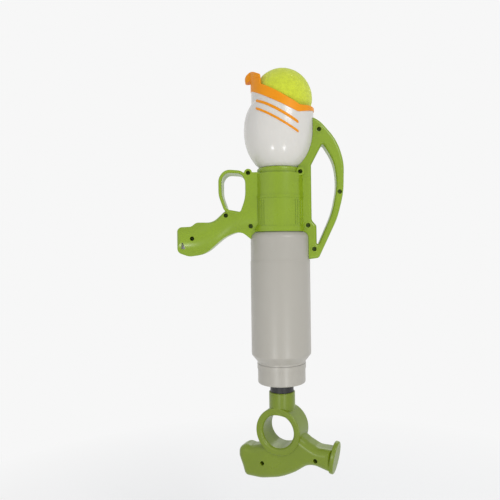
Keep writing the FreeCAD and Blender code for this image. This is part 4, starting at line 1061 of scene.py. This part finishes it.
@dataclass
class HousingHalves:
    """The green housing with its screws and the raised rims round the screw recesses."""

    rim_inner: float = 0.0024
    rim_outer: float = 0.0041
    rim_height: float = 0.0004
    places: tuple[Triple, ...] = (
        (0.0428, 0.1785, 0.0105),
        (0.0299, 0.0767, 0.0105),
        (0.0362, 0.0515, 0.0105),
    )

    def rim(self, index: int, x: float, z: float, depth: float) -> Piece:
        """Build one rim: a ring whose section has rounded shoulders, turned about the screw."""
        inner, outer, high = self.rim_inner, self.rim_outer, self.rim_height
        section = np.array([(inner, -0.0003), (inner, high * 0.6), (inner + 0.0003, high),
                            (outer - 0.0004, high), (outer, high * 0.4), (outer + 0.0002, -0.0003)])
        around = round_angles(48)[:, None]
        grid = np.stack(np.broadcast_arrays(
            x + section[:, 0] * np.cos(around), -depth - section[:, 1],
            z + section[:, 0] * np.sin(around)), -1)
        return grid_piece(f"screw_rim_{index}", grid)

    def build(self) -> None:
        """Build and dress the housing."""
        dress_nodes(GREEN, "housing_front", "housing_back")
        # The screws take the painted recess shade.
        dress_nodes(RECESS_SHADED_STEEL, "housing_screws")
        for index, place in enumerate(self.places, start=1):
            fit_piece(self.rim(index, *place), Body.LAUNCHER, GREEN)


@dataclass
class Barrel:
    """The white barrel with its cap, the cylinder inside and the seals."""

    radius: float = 0.0320
    seat_radius: float = 0.0316
    seat_level: float = 0.0395
    seat_gap: float = 0.0003
    top: float = 0.0590
    bottom: float = -0.0595
    line_height: float = 0.00012

    def parting_line(self, name: str, side: float, radius: float, low: float, high: float) -> Piece:
        """Build a straight stretch of the barrel's parting line."""
        z = np.linspace(low, high, 12)
        path = np.stack([np.full_like(z, side * radius), np.zeros_like(z), z], -1)
        return ridge(name, path, np.array([side, 0.0, 0.0]), self.line_height)

    def build(self) -> None:
        """Build and dress the barrel."""
        # The barrel and its cap take the greyer white of painted shade.
        dress_nodes(WHITE, "barrel", "end_cap")
        dress_nodes(NATURAL, "pump_cylinder", "rod_bush")
        dress_nodes(SEALING, "neck_seal")
        lower = (self.radius, self.bottom, self.seat_level - self.seat_gap)
        upper = (self.seat_radius, self.seat_level + self.seat_gap, self.top)
        for label, side, stretch in (("hook_side_low", -1.0, lower), ("handle_side_low", 1.0, lower),
                                     ("hook_side_high", -1.0, upper)):
            piece = self.parting_line(f"barrel_parting_{label}", side, *stretch)
            fit_piece(piece, Body.LAUNCHER, WHITE)


@dataclass
class PumpHandle:
    """The rod with its piston and the two-piece pump handle."""

    finishes: tuple[tuple[Finish, tuple[str, ...]], ...] = (
        (NATURAL, ("piston", "rod_plug")),
        (SEALING, ("piston_seal",)),
        (STEEL, ("seal_plate", "piston_bolt", "piston_nut")),
        (FOAM, ("piston_bumper",)),
        (BLACK, ("pump_rod",)),
        # The pump handle takes the darker lime of painted shade.
        (SHADED_GREEN, ("pump_handle_front", "pump_handle_back")),
        # The handle's screws take the painted recess shade.
        (RECESS_SHADED_STEEL, ("pump_handle_screws",)),
    )

    def build(self) -> None:
        """Dress the rod, the piston and the handle."""
        for finish, names in self.finishes:
            dress_nodes(finish, *names)


# Stage


@dataclass(frozen=True)
class Lamp:
    """A square area lamp that the camera doesn't see."""

    name: str
    place: Triple
    size: float
    power: float
    aim: Triple = (0.0, 0.0, 0.05)

    def hang(self) -> None:
        """Hang the lamp at its place, facing its aim."""
        data = bpy.data.lights.new(self.name, "AREA")
        data.size = self.size
        data.energy = self.power
        lamp = bpy.data.objects.new(self.name, data)
        lamp.location = self.place
        way = Vector(self.aim) - Vector(self.place)
        lamp.rotation_euler = way.to_track_quat("-Z", "Y").to_euler()
        lamp.visible_camera = False
        bpy.context.scene.collection.objects.link(lamp)


@dataclass
class Studio:
    """Floor, world, lamps and the camera at the photograph's angle.

    The floor lies just below the reach of the pulled-out pump handle.
    """

    floor_level: float = -0.3700
    floor_radius: float = 6.0
    floor_thickness: float = 0.01
    floor_tones: tuple[float, float] = (0.95, 0.98)
    fading: tuple[float, float] = (0.18, 0.75)
    backdrop: Triple = (0.93, 0.93, 0.93)
    daylight: Triple = (0.97, 0.98, 1.0)
    daylight_strength: float = 0.62
    distance: float = 0.560
    eye_level: float = 0.0551
    pixels: float = 500.0
    pixel_size: float = 1.08 * MM
    principal: tuple[float, float] = (280.13, 246.0)
    tilt: float = 0.0132
    lamps: tuple[Lamp, ...] = (
        Lamp("key", (0.60, -0.95, 0.70), 0.45, 4.8),
        Lamp("fill", (-0.95, -0.80, 0.35), 1.2, 1.2),
        Lamp("back", (0.25, 1.10, 0.95), 0.8, 5.0),
        Lamp("spark_left", (-0.205, -0.441, -0.169), 0.04, 0.30, (-0.03, 0.0, 0.12)),
        Lamp("spark_right", (0.176, -0.447, -0.169), 0.04, 0.30, (-0.03, 0.0, 0.12)),
    )

    def camera(self) -> None:
        """Place the camera level in front, its frame shifted to where the object stands."""
        data = bpy.data.cameras.new("camera")
        data.sensor_fit = "HORIZONTAL"
        data.sensor_width = 36.0
        data.lens = data.sensor_width * self.distance / (self.pixels * self.pixel_size)
        data.shift_x = (self.pixels / 2 - self.principal[0]) / self.pixels
        data.shift_y = (self.principal[1] - self.pixels / 2) / self.pixels
        data.clip_start = 0.02
        data.clip_end = 20.0
        camera = bpy.data.objects.new("camera", data)
        camera.location = (0.0, -self.distance, self.eye_level)
        camera.rotation_euler = (math.pi / 2, self.tilt, 0.0)
        bpy.context.scene.collection.objects.link(camera)
        bpy.context.scene.camera = camera

    def straight_seen(self, bench: Bench) -> Socket:
        """Return 1 for what the camera sees, also in a reflection or through glass."""
        path = bench.add("ShaderNodeLightPath").outputs
        seen = bench.math("MAXIMUM", path["Is Camera Ray"], path["Is Transmission Ray"])
        return bench.math("MAXIMUM", seen, path["Is Glossy Ray"])

    def floor(self) -> None:
        """Lay a round plate as the floor."""
        around = round_angles(96)
        levels = np.array([self.floor_level - self.floor_thickness, self.floor_level])[:, None]
        grid = np.stack(np.broadcast_arrays(self.floor_radius * np.cos(around),
                                            self.floor_radius * np.sin(around), levels), -1)
        plate = grid_piece("floor", grid, Ends.FANS)
        plate.data.materials.append(self.floor_material())

    def floor_material(self) -> bpy.types.Material:
        """Make a pale floor that runs into the backdrop's white away from the object.

        Its mask is the distance from the barrel's axis, so the floor keeps the object's shadow
        and has no visible end.
        """
        material = bpy.data.materials.new("pale_floor")
        material.use_nodes = True
        tree = material.node_tree
        bench = Bench(tree)
        where = bench.add("ShaderNodeTexCoord").outputs["Object"]
        tones = [opaque((tone,) * 3) for tone in self.floor_tones]
        shader = bench.supply(
            tree.nodes["Principled BSDF"], Roughness=0.9, Specular_IOR_Level=0.1,
            Base_Color=bench.blend(bench.noise(where, 2.5, 3.0), *tones))
        away = bench.add("ShaderNodeVectorMath", operation="LENGTH")
        bench.feed(away.inputs[0], bench.stretch(where, (1.0, 1.0, 0.0)))
        far = bench.remap(away.outputs["Value"], *self.fading)
        white = bench.emission("ShaderNodeEmission", self.backdrop, 1.0)
        share = bench.math("MULTIPLY", far, self.straight_seen(bench))
        bench.supply(tree.nodes["Material Output"],
                     Surface=bench.mixed(share, shader.outputs[0], white))
        return material

    def world(self) -> None:
        """Light the scene softly from all round, and show the camera a white background."""
        world = bpy.data.worlds.new("studio")
        world.use_nodes = True
        world.node_tree.nodes.clear()
        bench = Bench(world.node_tree)
        kind = "ShaderNodeBackground"
        soft = bench.emission(kind, self.daylight, self.daylight_strength)
        plain = bench.emission(kind, self.backdrop, 1.0)
        bench.supply(bench.add("ShaderNodeOutputWorld"),
                     Surface=bench.mixed(self.straight_seen(bench), soft, plain))
        bpy.context.scene.world = world

    def build(self) -> None:
        """Set the stage."""
        self.camera()
        self.floor()
        self.world()
        for lamp in self.lamps:
            lamp.hang()
        bpy.context.scene.view_settings.view_transform = "Standard"


def main() -> None:
    """Build the stage and the sub-assemblies in order."""
    logging.basicConfig(level=logging.INFO, format="%(name)s: %(message)s")
    for part in (Studio(), TennisBall(), MuzzleHead(), HousingHalves(), Barrel(), PumpHandle()):
        part.build()


if __name__ == "__main__":
    main()
